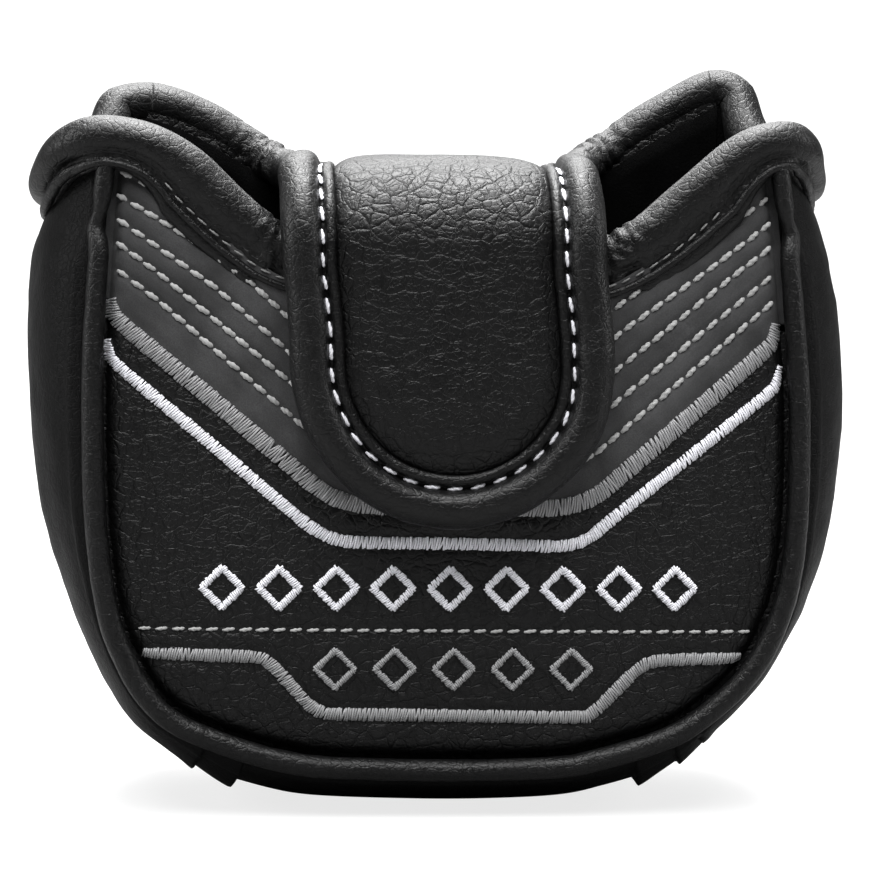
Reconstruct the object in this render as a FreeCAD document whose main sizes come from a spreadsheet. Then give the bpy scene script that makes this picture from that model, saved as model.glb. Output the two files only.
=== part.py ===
"""Padded mallet putter cover: an upright pouch closed by a folded magnetic flap.

The pouch stands on its bottom gusset.  The front panel faces -Y, +Z is up and X runs from
left to right.  The origin is the middle of the flat that the pouch rests on.
All lengths are in millimetres and all angles are in degrees.
"""
import FreeCAD, Part
import math
import os
import re
import Sketcher

DIMENSIONS = [
    ("seam_half", 54.5, "half width of the front and back panels"),
    ("seam_bottom", 9.3, "height of the lower edge of the panels"),
    ("seam_radius", 26.3, "radius of the lower corners of the panels"),
    ("wall_face", 23.0, "distance of the outer panel faces from the middle plane"),
    ("skin", 1.2, "thickness of the outer leather"),
    ("foam", 4.0, "thickness of the wall foam"),
    ("lining", 0.8, "thickness of the plush lining cloth"),
    ("layer_gap", 0.1, "space left between neighbouring layers"),
    ("front_valley_half", 18.0, "half width of the flat part of the front mouth edge"),
    ("front_valley_height", 73.0, "height of the flat part of the front mouth edge"),
    ("valley_radius", 14.0, "radius where the front mouth edge turns upwards"),
    ("vee_angle", 39.0, "slope of the front mouth edge and of the trim lines below it"),
    ("gate_half", 25.3, "half width of the place where the flap leaves the back wall"),
    ("gate_height", 94.3, "height of the back wall under the flap"),
    ("back_angle", 29.0, "slope of the back mouth edge"),
    ("gusset_half", 19.5, "half depth of the gusset"),
    ("gusset_bulge", 9.3, "distance the gusset stands out from the panel edge"),
    ("gusset_shoulder", 8.0, "outer radius of the gusset shoulders"),
    ("gusset_height", 94.0, "height of the side gussets below their binding"),
    ("tuck_length", 7.0, "length of the larger gusset tuck"),
    ("tuck_rise", 1.6, "height of a tuck above the gusset"),
    ("piping_radius", 1.6, "outer radius of the piping"),
    ("piping_cord", 1.0, "radius of the cord inside the piping"),
    ("piping_out", 1.7, "distance of the piping centre outside the panel edge"),
    ("piping_face", 21.2, "distance of the piping centre from the middle plane"),
    ("piping_height", 99.0, "height where the piping ends under the mouth binding"),
    ("rim_width", 6.4, "thickness of the rolled mouth binding"),
    ("rim_rise", 6.0, "height of the rolled mouth binding"),
    ("rim_skin", 1.0, "leather thickness of the bindings"),
    ("facing", 3.6, "height of the flat binding strip below the front roll"),
    ("flap_half", 24.75, "half width of the flap"),
    ("flap_tip", 43.4, "height of the tip of the closed flap"),
    ("flap_inner", 24.6, "distance of the closed flap lining from the middle plane"),
    ("flap_foam", 5.0, "thickness of the flap foam"),
    ("flap_roll", 3.0, "outer radius of the flap edge binding"),
    ("edge_gap", 0.3, "gap between the flap layers and the edge binding"),
    ("fold_depth", 16.7, "distance of the fold centre from the middle plane"),
    ("fold_height", 87.0, "height of the fold centre"),
    ("back_hinge", 19.4, "distance of the back hinge from the middle plane"),
    ("magnet_radius", 10.0, "radius of the closing magnets"),
    ("magnet", 2.5, "thickness of the closing magnets"),
    ("magnet_height", 62.0, "height of the closing magnets"),
    ("yoke_half", 19.7, "half width of the flat part of the yoke seam"),
    ("yoke_height", 47.7, "height of the flat part of the yoke seam"),
    ("trim", 0.45, "height of embroidery above the leather"),
    ("grey_band", 2.7, "width of the satin band over the yoke seam"),
    ("white_band", 1.9, "width of the white satin band"),
    ("white_half", 20.6, "half width of the flat part of the white band"),
    ("white_height", 41.4, "height of the flat part of the white band"),
    ("low_band", 2.0, "width of the lowest satin band"),
    ("low_half", 21.3, "half width of the flat part of the lowest band"),
    ("low_height", 13.0, "height of the flat part of the lowest band"),
    ("low_angle", 43.0, "slope of the lowest band"),
    ("wing_height", 22.0, "height of the side wings of the lowest band"),
    ("wing_end", 46.5, "distance of the wing ends from the middle"),
    ("lozenge_width", 6.2, "width of an embroidered lozenge"),
    ("lozenge_rise", 6.7, "height of an embroidered lozenge"),
    ("white_row", 33.3, "height of the row of white lozenges"),
    ("white_step", 8.8, "spacing of the white lozenges"),
    ("grey_row", 20.6, "height of the row of grey lozenges"),
    ("grey_step", 9.2, "spacing of the grey lozenges"),
    ("stitch_row", 26.7, "height of the level stitch row"),
    ("stitch_step", 2.54, "spacing of machine stitches"),
    ("stitch_length", 1.9, "visible length of a stitch"),
    ("stitch_width", 0.7, "width of a stitch"),
    ("quilt_first", 3.0, "distance of the first stitched yoke line from the yoke seam"),
    ("quilt_step", 2.7, "spacing of the stitched lines on the yoke"),
]
NAMES = set(name for name, size, meaning in DIMENSIONS)
UP = FreeCAD.Vector(0, 0, 1)

DOC = FreeCAD.newDocument("putter_cover")
SHEET = DOC.addObject("Spreadsheet::Sheet", "dims")
for row, (name, size, meaning) in enumerate(DIMENSIONS, start=1):
    SHEET.set("A%d" % row, name)
    SHEET.set("B%d" % row, str(size))
    SHEET.set("C%d" % row, meaning)
    SHEET.setAlias("B%d" % row, name)
DOC.recompute()

BODIES = []


def expand(text):
    """Turns 'skin + foam' into an expression that reads the sheet of dimensions."""
    def lookup(match):
        word = match.group(0)
        return "dims." + word if word in NAMES else word
    return re.sub(r"[a-z_]+", lookup, str(text))


def amount(text):
    """Number that an expression stands for at present."""
    return float(SHEET.evalExpression(expand(text)))


def bind(item, field, text):
    """Drives one field of a document object by the sheet."""
    item.setExpression(field, expand(text))


def body(name):
    """New body whose label becomes the node and file name."""
    item = DOC.addObject("PartDesign::Body", name)
    item.Label = name
    item.AllowCompound = True
    BODIES.append(item)
    return item


def sketch(owner, name, plane, offset="0"):
    """New sketch on one origin plane of its body, moved along the plane normal."""
    item = owner.newObject("Sketcher::SketchObject", name)
    support = [feature for feature in owner.Origin.OriginFeatures if feature.Role == plane]
    item.AttachmentSupport = (support[0], [""])
    item.MapMode = "FlatFace"
    bind(item, "AttachmentOffset.Base.z", offset)
    return item


def pin(item, edge, end, across, up):
    """Fixes one end of a sketch edge at two driven coordinates."""
    for kind, axis, text in (("DistanceX", -2, across), ("DistanceY", -1, up)):
        size = amount(text)
        if abs(size) < 1e-9:
            item.addConstraint(Sketcher.Constraint("PointOnObject", edge, end, axis))
        else:
            index = item.addConstraint(Sketcher.Constraint(kind, edge, end, size))
            label = "%s_%d" % (kind.lower(), index)
            item.renameConstraint(index, label)
            bind(item, "Constraints." + label, text)


def set_radius(item, edge, text):
    """Drives the radius of a sketched arc or circle."""
    index = item.addConstraint(Sketcher.Constraint("Radius", edge, amount(text)))
    label = "radius_%d" % index
    item.renameConstraint(index, label)
    bind(item, "Constraints." + label, text)


def arc_between(first, last, radius, turn):
    """Short arc from first to last that turns left (1) or right (-1)."""
    chord = last.sub(first)
    middle = first.add(last).multiply(0.5)
    rise = math.sqrt(max(radius ** 2 - (chord.Length / 2) ** 2, 0))
    aside = FreeCAD.Vector(-chord.y, chord.x, 0).normalize().multiply(rise * turn)
    centre = middle.add(aside)
    ends = [math.atan2(p.y - centre.y, p.x - centre.x) for p in (first, last)]
    if turn < 0:
        ends.reverse()
    return Part.ArcOfCircle(Part.Circle(centre, UP, radius), ends[0], ends[1])


def draw(item, start, *steps):
    """Draws a chain of driven lines (x, y) and arcs (x, y, radius, turn) from start."""
    stops = [start] + [step[:2] for step in steps]
    closed = stops[-1] == start
    ends = []
    for index, step in enumerate(steps):
        first, last = [FreeCAD.Vector(amount(x), amount(y), 0) for x, y in stops[index:index + 2]]
        if len(step) == 2:
            edge = item.addGeometry(Part.LineSegment(first, last))
            ends.append((edge, 1, 2))
            continue
        edge = item.addGeometry(arc_between(first, last, amount(step[2]), step[3]))
        ends.append((edge, 1, 2) if step[3] > 0 else (edge, 2, 1))
        set_radius(item, edge, step[2])
    for index in range(len(steps)):
        if index or closed:
            before, after = ends[index - 1], ends[index]
            item.addConstraint(Sketcher.Constraint("Coincident", before[0], before[2], after[0], after[1]))
        pin(item, ends[index][0], ends[index][1], *stops[index])
    if not closed:
        pin(item, ends[-1][0], ends[-1][2], *stops[-1])


def ring(item, across, up, *radii):
    """Draws circles of the given radii round one driven centre."""
    for radius in radii:
        place = FreeCAD.Vector(amount(across), amount(up), 0)
        edge = item.addGeometry(Part.Circle(place, UP, amount(radius)))
        pin(item, edge, 3, across, up)
        set_radius(item, edge, radius)


def pad(owner, profile, length, midplane=False):
    """Extrudes a sketch along its normal, or to both sides of it."""
    item = owner.newObject("PartDesign::Pad", profile.Name + "_pad")
    item.Profile = profile
    item.Midplane = midplane
    bind(item, "Length", length)
    return item


def pipe(owner, profile, path):
    """Sweeps a profile sketch along a path sketch."""
    item = owner.newObject("PartDesign::AdditivePipe", profile.Name + "_pipe")
    item.Profile = (profile, [""])
    item.Spine = (path, [""])
    return item


def mirror(owner, *features):
    """Repeats features on the other side of the middle plane between left and right."""
    item = owner.newObject("PartDesign::Mirrored", owner.Name + "_mirror")
    side = [feature for feature in owner.Origin.OriginFeatures if feature.Role == "YZ_Plane"]
    item.MirrorPlane = (side[0], [""])
    item.Originals = list(features)
    owner.Tip = item


def row(owner, feature, profile, axis, length, count):
    """Repeats a feature in a straight row."""
    item = owner.newObject("PartDesign::LinearPattern", owner.Name + "_row")
    item.Originals = [feature]
    item.Direction = (profile, [axis])
    item.Occurrences = count
    bind(item, "Length", length)
    owner.Tip = item


# Walls --------------------------------------------------------------------------------------

EDGE = "(seam_half - layer_gap)"
LOW = "(seam_bottom + layer_gap)"
TURN = "(%s + seam_radius)" % LOW
FRONT_TOP = "(front_valley_height + (%s - front_valley_half) * tan(vee_angle))" % EDGE
BACK_TOP = "(gate_height + (%s - gate_half) * tan(back_angle))" % EDGE
YOKE_SIDE = "(yoke_height + (%s - yoke_half) * tan(vee_angle))" % EDGE
BEND = "(valley_radius * tan(vee_angle / 2))"
FOAM_FACE = "(wall_face - skin - layer_gap)"
LINING_FACE = "(%s - foam - layer_gap)" % FOAM_FACE


def lower_edge(top):
    """Steps down the left side of a panel, round the bottom and up the right side."""
    return [
        ("-%s" % EDGE, TURN),
        ("seam_radius - %s" % EDGE, LOW, "seam_radius", 1),
        ("%s - seam_radius" % EDGE, LOW),
        (EDGE, TURN, "seam_radius", 1),
        (EDGE, top),
    ]


def front_mouth():
    """Steps along the mouth edge of the front wall from right to left."""
    slope_x = "(front_valley_half + %s * cos(vee_angle))" % BEND
    slope_z = "front_valley_height + %s * sin(vee_angle)" % BEND
    level_x = "(front_valley_half - %s)" % BEND
    return [
        (slope_x, slope_z),
        (level_x, "front_valley_height", "valley_radius", -1),
        ("-" + level_x, "front_valley_height"),
        ("-" + slope_x, slope_z, "valley_radius", -1),
        ("-%s" % EDGE, FRONT_TOP),
    ]


def back_mouth():
    """Steps along the mouth edge of the back wall from right to left."""
    return [
        ("gate_half", "gate_height"),
        ("-gate_half", "gate_height"),
        ("-%s" % EDGE, BACK_TOP),
    ]


def wall_layer(name, face, thickness, mouth, top, front):
    """One full layer of the front or back wall; face is its outer face."""
    owner = body(name)
    offset = "%s - %s" % (face, thickness) if front else "-(%s)" % face
    outline = sketch(owner, name + "_outline", "XZ_Plane", offset)
    draw(outline, ("-%s" % EDGE, top), *(lower_edge(top) + mouth))
    pad(owner, outline, thickness)
    return owner


yoke = body("front_yoke")
outline = sketch(yoke, "front_yoke_outline", "XZ_Plane", "wall_face - skin")
draw(
    outline,
    ("-%s" % EDGE, FRONT_TOP),
    ("-%s" % EDGE, YOKE_SIDE),
    ("-yoke_half", "yoke_height"),
    ("yoke_half", "yoke_height"),
    (EDGE, YOKE_SIDE),
    (EDGE, FRONT_TOP),
    *front_mouth()
)
pad(yoke, outline, "skin")

panel = body("front_panel")
outline = sketch(panel, "front_panel_outline", "XZ_Plane", "wall_face - skin")
side = "%s - 2 * layer_gap" % YOKE_SIDE
draw(
    outline,
    ("-%s" % EDGE, side),
    *(lower_edge(side) + [
        ("yoke_half", "yoke_height - 2 * layer_gap"),
        ("-yoke_half", "yoke_height - 2 * layer_gap"),
        ("-%s" % EDGE, side),
    ])
)
pad(panel, outline, "skin")

front_foam = wall_layer("front_foam", FOAM_FACE, "foam", front_mouth(), FRONT_TOP, True)
DOC.recompute()
seat = sketch(front_foam, "magnet_seat", "XZ_Plane", FOAM_FACE)
ring(seat, "0", "magnet_height", "magnet_radius + layer_gap")
pocket = front_foam.newObject("PartDesign::Pocket", "magnet_pocket")
pocket.Profile = seat
bind(pocket, "Length", "magnet + layer_gap")
wall_layer("front_lining", LINING_FACE, "lining", front_mouth(), FRONT_TOP, True)

wall_layer("back_panel", "wall_face", "skin", back_mouth(), BACK_TOP, False)
wall_layer("back_foam", FOAM_FACE, "foam", back_mouth(), BACK_TOP, False)
wall_layer("back_lining", LINING_FACE, "lining", back_mouth(), BACK_TOP, False)

magnet = body("front_magnet")
disc = sketch(magnet, "front_magnet_disc", "XZ_Plane", "%s - magnet" % FOAM_FACE)
ring(disc, "0", "magnet_height", "magnet_radius")
pad(magnet, disc, "magnet")

# Gusset -------------------------------------------------------------------------------------


def channel(item, side, start, thickness):
    """Draws the cross-section of one gusset layer, start below the outer skin face."""
    flat = "(gusset_half - gusset_shoulder)"
    root = "(seam_half + gusset_bulge - gusset_shoulder)"

    def at(across, up):
        return ("%d * (%s)" % (side, across), up)

    def half(depth, sign):
        reach = "gusset_shoulder - %s" % depth
        return [
            at("seam_half", "%s(gusset_half - %s)" % (sign, depth)),
            at(root, "%s(gusset_half - %s)" % (sign, depth)),
            at("%s + %s" % (root, reach), "%s%s" % (sign, flat)),
        ]

    outer = "(%s)" % start
    inner = "(%s + %s)" % (start, thickness)
    near, far = half(outer, "-"), half(outer, "")
    near_in, far_in = half(inner, "-"), half(inner, "")
    outer_radius = "gusset_shoulder - %s" % outer
    inner_radius = "gusset_shoulder - %s" % inner
    draw(
        item,
        near[0],
        near[1],
        near[2] + (outer_radius, side),
        far[2],
        far[1] + (outer_radius, side),
        far[0],
        far_in[0],
        far_in[1],
        far_in[2] + (inner_radius, -side),
        near_in[2],
        near_in[1] + (inner_radius, -side),
        near_in[0],
        near[0],
    )


def seam_path(owner, out, offset, top):
    """Path down the left side, round the bottom and up the right side, outside the seam."""
    item = sketch(owner, owner.Name + "_path", "XZ_Plane", offset)
    half = "(seam_half + %s)" % out
    low = "(seam_bottom - %s)" % out
    radius = "(seam_radius + %s)" % out
    draw(
        item,
        ("-%s" % half, top),
        ("-%s" % half, "%s + %s" % (low, radius)),
        ("%s - %s" % (radius, half), low, radius, 1),
        ("%s - %s" % (half, radius), low),
        (half, "%s + %s" % (low, radius), radius, 1),
        (half, top),
    )
    return item


SKIN_START = "0"
FOAM_START = "skin + layer_gap"
LINING_START = "skin + foam + 2 * layer_gap"
CORNER_TOP = "(seam_bottom + seam_radius)"

gusset = body("gusset")
path = seam_path(gusset, "0", "0", "gusset_height")
profile = sketch(gusset, "gusset_section", "XY_Plane", "gusset_height")
channel(profile, -1, SKIN_START, "skin")
pipe(gusset, profile, path)
DOC.recompute()
# Two folded tucks cross the gusset at each lower corner.
CORNER_X = "(seam_half - seam_radius)"
tucks = sketch(gusset, "gusset_tucks", "XZ_Plane", "-(gusset_half - gusset_shoulder)")
for direction, length in ((48, "tuck_length"), (66, "tuck_length * 0.6")):
    reach = "(seam_radius + gusset_bulge)"

    def tuck_point(along, out, angle=direction):
        """Point on a tuck: along the gusset and out from its face."""
        across = "-(%s + (%s + %s) * cos(%d) - (%s) * sin(%d))" % (CORNER_X, reach, out, angle, along, angle)
        height = "%s - (%s + %s) * sin(%d) - (%s) * cos(%d)" % (CORNER_TOP, reach, out, angle, along, angle)
        return across, height

    root_a = tuck_point("-(%s) / 2" % length, "-skin / 2")
    draw(
        tucks,
        root_a,
        tuck_point("(%s) / 2" % length, "-skin / 2"),
        tuck_point("(%s) / 4" % length, "tuck_rise"),
        tuck_point("-(%s) / 4" % length, "tuck_rise * 0.6"),
        root_a,
    )
tuck_pad = pad(gusset, tucks, "2 * (gusset_half - gusset_shoulder)")
mirror(gusset, tuck_pad)

gusset_lining = body("gusset_lining")
path = seam_path(gusset_lining, "0", "0", "gusset_height")
profile = sketch(gusset_lining, "gusset_lining_section", "XY_Plane", "gusset_height")
channel(profile, -1, LINING_START, "lining")
pipe(gusset_lining, profile, path)

for name, side in (("gusset_foam_left", -1), ("gusset_foam_right", 1)):
    owner = body(name)
    profile = sketch(owner, name + "_section", "XY_Plane", CORNER_TOP + " + layer_gap")
    channel(profile, side, FOAM_START, "foam")
    pad(owner, profile, "gusset_height - %s - layer_gap" % CORNER_TOP)

bottom = body("gusset_foam_bottom")
path = sketch(bottom, "gusset_foam_bottom_path", "XZ_Plane")
draw(
    path,
    ("-seam_half", CORNER_TOP),
    ("seam_radius - seam_half", "seam_bottom", "seam_radius", 1),
    ("seam_half - seam_radius", "seam_bottom"),
    ("seam_half", CORNER_TOP, "seam_radius", 1),
)
profile = sketch(bottom, "gusset_foam_bottom_section", "XY_Plane", CORNER_TOP)
channel(profile, -1, FOAM_START, "foam")
pipe(bottom, profile, path)

# Piping -------------------------------------------------------------------------------------

for name, side in (("front", 1), ("back", -1)):
    for part, radii in (("piping", ["piping_radius", "piping_cord + layer_gap"]), ("piping_cord", ["piping_cord"])):
        owner = body("%s_%s" % (name, part))
        path = seam_path(owner, "piping_out", "%d * piping_face" % side, "piping_height")
        profile = sketch(owner, owner.Name + "_section", "XY_Plane", "piping_height")
        ring(profile, "-(seam_half + piping_out)", "%d * piping_face" % -side, *radii)
        pipe(owner, profile, path)

# Mouth binding ------------------------------------------------------------------------------


def roll_section(item, middle, base, rise, inset):
    """Draws a binding section with a flat foot and a round top, shrunk by inset."""
    half = "(rim_width / 2 - %s)" % inset
    left = "%s - %s" % (middle, half)
    right = "%s + %s" % (middle, half)
    foot = "%s + %s" % (base, inset)
    shoulder = "%s + %s - rim_width / 2" % (base, rise)
    top = "%s + %s - %s" % (base, rise, inset)
    draw(
        item,
        (left, foot),
        (right, foot),
        (right, shoulder),
        (middle, top, half, 1),
        (left, shoulder, half, 1),
        (left, foot),
    )


def binding_pair(name, build):
    """Leather sleeve and foam roll that share one course."""
    sleeve = body("rim_binding_" + name)
    build(sleeve, ["0", "rim_skin"])
    core = body("rim_roll_" + name)
    build(core, ["rim_skin + layer_gap"])


def front_rim(owner, insets):
    """Binding along the front mouth edge, made as a half and mirrored."""
    path = sketch(owner, owner.Name + "_path", "XZ_Plane", "wall_face - rim_width / 2")
    base = "(front_valley_height + layer_gap)"
    reach = "(seam_half - 1 - front_valley_half)"
    draw(
        path,
        ("0", base),
        ("front_valley_half - %s" % BEND, base),
        (
            "front_valley_half + %s * cos(vee_angle)" % BEND,
            "%s + %s * sin(vee_angle)" % (base, BEND),
            "valley_radius",
            1,
        ),
        ("front_valley_half + %s" % reach, "%s + %s * tan(vee_angle)" % (base, reach)),
    )
    profile = sketch(owner, owner.Name + "_section", "YZ_Plane")
    for inset in insets:
        roll_section(profile, "(rim_width / 2 - wall_face)", base, "rim_rise", "(%s)" % inset)
    mirror(owner, pipe(owner, profile, path))


def side_rim(side):
    """Builder for the binding over the top of one side gusset."""
    def build(owner, insets):
        wall = "(skin + foam + lining + 2 * layer_gap)"
        radius = "(gusset_shoulder - %s / 2)" % wall
        root = "(seam_half + gusset_bulge - gusset_shoulder)"
        flat = "(gusset_half - gusset_shoulder)"
        base = "(gusset_height + layer_gap)"
        start = "(seam_half + 4 * layer_gap)"
        middle = "(gusset_half - %s / 2)" % wall
        path = sketch(owner, owner.Name + "_path", "XY_Plane", base)
        draw(
            path,
            ("%d * %s" % (side, start), "-" + middle),
            ("%d * %s" % (side, root), "-" + middle),
            ("%d * (%s + %s)" % (side, root, radius), "-" + flat, radius, side),
            ("%d * (%s + %s)" % (side, root, radius), flat),
            ("%d * %s" % (side, root), middle, radius, side),
            ("%d * %s" % (side, start), middle),
        )
        profile = sketch(owner, owner.Name + "_section", "YZ_Plane", "%d * %s" % (side, start))
        for inset in insets:
            roll_section(profile, "-" + middle, base, "rim_rise", "(%s)" % inset)
        pipe(owner, profile, path)
    return build


def back_rim(side):
    """Builder for the binding over one slope of the back mouth edge."""
    def build(owner, insets):
        start = "(gate_half + 3 * layer_gap)"
        reach = "(seam_half - 1 - gate_half)"
        base = "(gate_height + 4 * layer_gap)"
        path = sketch(owner, owner.Name + "_path", "XZ_Plane", "rim_width / 2 - wall_face")
        draw(
            path,
            ("%d * %s" % (side, start), base),
            ("%d * (gate_half + %s)" % (side, reach), "%s + %s * tan(back_angle)" % (base, reach)),
        )
        profile = sketch(owner, owner.Name + "_section", "YZ_Plane", "%d * %s" % (side, start))
        for inset in insets:
            roll_section(profile, "(wall_face - rim_width / 2)", base, "rim_rise", "(%s)" % inset)
        pipe(owner, profile, path)
    return build


binding_pair("front", front_rim)
binding_pair("left", side_rim(-1))
binding_pair("right", side_rim(1))
binding_pair("back_left", back_rim(-1))
binding_pair("back_right", back_rim(1))

# Trim on the front --------------------------------------------------------------------------


def vee_band(name, half, height, width, end, angle, thickness, wing=None):
    """Raised band along a flat-bottomed vee, with optional level wings at its ends."""
    owner = body(name)
    outline = sketch(owner, name + "_outline", "XZ_Plane", "wall_face + layer_gap / 2")
    shift = "((%s) / 2 * tan(%s / 2))" % (width, angle)
    upper, lower = [], []
    for edge, sign in ((upper, 1), (lower, -1)):
        level = "(%s + %d * (%s) / 2)" % (height, sign, width)
        knee = "(%s - %d * %s)" % (half, sign, shift)
        if wing is None:
            tip = "%s + (%s - %s) * tan(%s)" % (level, end, knee, angle)
            edge += [(end, tip), (knee, level)]
        else:
            wing_level = "(%s + %d * (%s) / 2)" % (wing, sign, width)
            elbow = "(%s + (%s - %s) / tan(%s))" % (knee, wing_level, level, angle)
            edge += [(end, wing_level), (elbow, wing_level), (knee, level)]
        edge += [("-(%s)" % across, up) for across, up in reversed(edge)]
    lower.reverse()
    draw(outline, upper[0], *(upper[1:] + lower + upper[:1]))
    pad(owner, outline, thickness)


def lozenge_row(name, height, step, count):
    """Row of open lozenges centred on the middle plane."""
    owner = body(name)
    outline = sketch(owner, name + "_outline", "XZ_Plane", "wall_face + layer_gap / 2")
    middle = "(-%s * %d / 2)" % (step, count - 1)
    for scale in ("1", "0.45"):
        wide = "lozenge_width / 2 * " + scale
        tall = "lozenge_rise / 2 * " + scale
        start = ("%s - %s" % (middle, wide), height)
        draw(
            outline,
            start,
            (middle, "%s - %s" % (height, tall)),
            ("%s + %s" % (middle, wide), height),
            (middle, "%s + %s" % (height, tall)),
            start,
        )
    feature = pad(owner, outline, "trim")
    row(owner, feature, outline, "H_Axis", "%s * %d" % (step, count - 1), count)


def stitch(outline, across, up):
    """Draws the outline of one stitch, lying along the sketch X direction."""
    start = ("%s - stitch_length / 2" % across, "%s - stitch_width / 2" % up)
    draw(
        outline,
        start,
        ("%s + stitch_length / 2" % across, start[1]),
        ("%s + stitch_length / 2" % across, "%s + stitch_width / 2" % up),
        (start[0], "%s + stitch_width / 2" % up),
        start,
    )


vee_band("band_yoke", "yoke_half", "yoke_height", "grey_band", "(seam_half - 1.5)", "vee_angle", "trim")
vee_band("band_white", "white_half", "white_height", "white_band", "(seam_half - 1.5)", "vee_angle", "trim")
vee_band("band_low", "low_half", "low_height", "low_band", "wing_end", "low_angle", "trim", "wing_height")
vee_band("rim_facing_front", "(front_valley_half + 2)", "(front_valley_height - facing / 2 - 0.5)", "facing",
         "(seam_half - 1)", "vee_angle", "rim_skin")
lozenge_row("lozenges_white", "white_row", "white_step", 9)
lozenge_row("lozenges_grey", "grey_row", "grey_step", 5)

STITCHES = 39
stitches = body("stitches_level")
outline = sketch(stitches, "stitches_level_outline", "XZ_Plane", "wall_face + layer_gap / 2")
stitch(outline, "(-stitch_step * %d / 2)" % (STITCHES - 1), "stitch_row")
feature = pad(stitches, outline, "trim")
row(stitches, feature, outline, "H_Axis", "stitch_step * %d" % (STITCHES - 1), STITCHES)

QUILT_LINES = 5
QUILT_STITCHES = 13
QUILT_X = "(seam_half - 5)"
for name, side in (("stitches_yoke_left", -1), ("stitches_yoke_right", 1)):
    owner = body(name)
    outline = sketch(owner, name + "_outline", "XZ_Plane", "wall_face + layer_gap / 2")
    tilt = amount("%d * vee_angle" % side)
    base = FreeCAD.Vector(0, 0, amount("wall_face + layer_gap / 2"))
    outline.AttachmentOffset = FreeCAD.Placement(base, FreeCAD.Rotation(UP, tilt))
    bind(outline, "AttachmentOffset.Base.x", "%d * %s" % (side, QUILT_X))
    bind(outline, "AttachmentOffset.Base.y", "yoke_height + (%s - yoke_half) * tan(vee_angle)" % QUILT_X)
    bind(outline, "AttachmentOffset.Base.z", "wall_face + layer_gap / 2")
    bind(outline, "AttachmentOffset.Rotation.Angle", "%d * vee_angle" % side)
    for line in range(QUILT_LINES):
        up = "(quilt_first + %d * quilt_step)" % line
        stitch(outline, "(%d * %s * tan(vee_angle))" % (side, up), up)
    feature = pad(owner, outline, "trim")
    row(owner, feature, outline, "H_Axis", "stitch_step * %d" % (QUILT_STITCHES - 1), QUILT_STITCHES)
    owner.Tip.Reversed = side > 0

# Flap ---------------------------------------------------------------------------------------

INNER = "flap_half - 2 * flap_roll - edge_gap"
ROLL_HALF = "(flap_half - flap_roll)"
ROLL_FACE = "(flap_inner + lining + flap_foam / 2)"
TIP_HEIGHT = "(flap_tip + flap_half)"
FOLD = "sin(45)"
FLAP_LAYERS = [
    ("lining", "flap_inner", "lining"),
    ("foam", "(flap_inner + lining + layer_gap)", "flap_foam"),
    ("skin", "(flap_inner + lining + flap_foam + 2 * layer_gap)", "skin"),
]


def tongue_outline(item, inset):
    """Draws the hanging part of the flap, straight above and round at the tip."""
    half = "(flap_half - (%s))" % inset
    draw(
        item,
        ("-" + half, "fold_height"),
        ("-" + half, TIP_HEIGHT),
        ("0", "%s - %s" % (TIP_HEIGHT, half), half, 1),
        (half, TIP_HEIGHT, half, 1),
        (half, "fold_height"),
        ("-" + half, "fold_height"),
    )


def fold_point(radius, part):
    """Sketch point on the fold: part 0 at its top, 1 halfway and 2 at its lower end."""
    if part == 0:
        return "-fold_depth", "fold_height + %s" % radius
    if part == 1:
        return "-fold_depth - %s * %s" % (radius, FOLD), "fold_height + %s * %s" % (radius, FOLD)
    return "-fold_depth - %s" % radius, "fold_height"


for name, face, thickness in FLAP_LAYERS:
    near = "(%s - fold_depth)" % face
    far = "(%s + %s)" % (near, thickness)

    tongue = body("flap_tongue_" + name)
    outline = sketch(tongue, tongue.Name + "_outline", "XZ_Plane", face)
    tongue_outline(outline, "2 * flap_roll + edge_gap")
    pad(tongue, outline, thickness)
    DOC.recompute()
    # A little of the fold is left out so the halves stay apart while they turn.
    fold = sketch(tongue, tongue.Name + "_fold", "YZ_Plane")
    draw(
        fold,
        fold_point(near, 2),
        fold_point(near, 1) + (near, -1),
        fold_point(far, 1),
        fold_point(far, 2) + (far, 1),
        fold_point(near, 2),
    )
    pad(tongue, fold, "2 * (%s)" % INNER, midplane=True)

    bridge = body("flap_bridge_" + name)
    outline = sketch(bridge, bridge.Name + "_outline", "YZ_Plane", "0")
    top = "fold_height + " + far
    under = "fold_height + " + near
    if name == "skin":
        # The leather also wraps the round back end that turns on the back wall.
        turn = "((%s + %s - flap_inner) / 2)" % (face, thickness)
        middle = "(%s - %s)" % (top, turn)
        draw(
            outline,
            ("back_hinge", top),
            fold_point(far, 0),
            fold_point(far, 1) + (far, 1),
            fold_point(near, 1),
            fold_point(near, 0) + (near, -1),
            ("back_hinge", under),
            ("back_hinge + %s - skin" % turn, middle, "%s - skin" % turn, -1),
            ("back_hinge", "%s - %s + skin" % (middle, turn), "%s - skin" % turn, -1),
            ("back_hinge", "%s - %s" % (middle, turn)),
            ("back_hinge + %s" % turn, middle, turn, 1),
            ("back_hinge", top, turn, 1),
        )
    else:
        draw(
            outline,
            ("back_hinge - layer_gap", top),
            fold_point(far, 0),
            fold_point(far, 1) + (far, 1),
            fold_point(near, 1),
            fold_point(near, 0) + (near, -1),
            ("back_hinge - layer_gap", under),
            ("back_hinge - layer_gap", top),
        )
    pad(bridge, outline, "2 * (%s)" % INNER, midplane=True)

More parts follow.
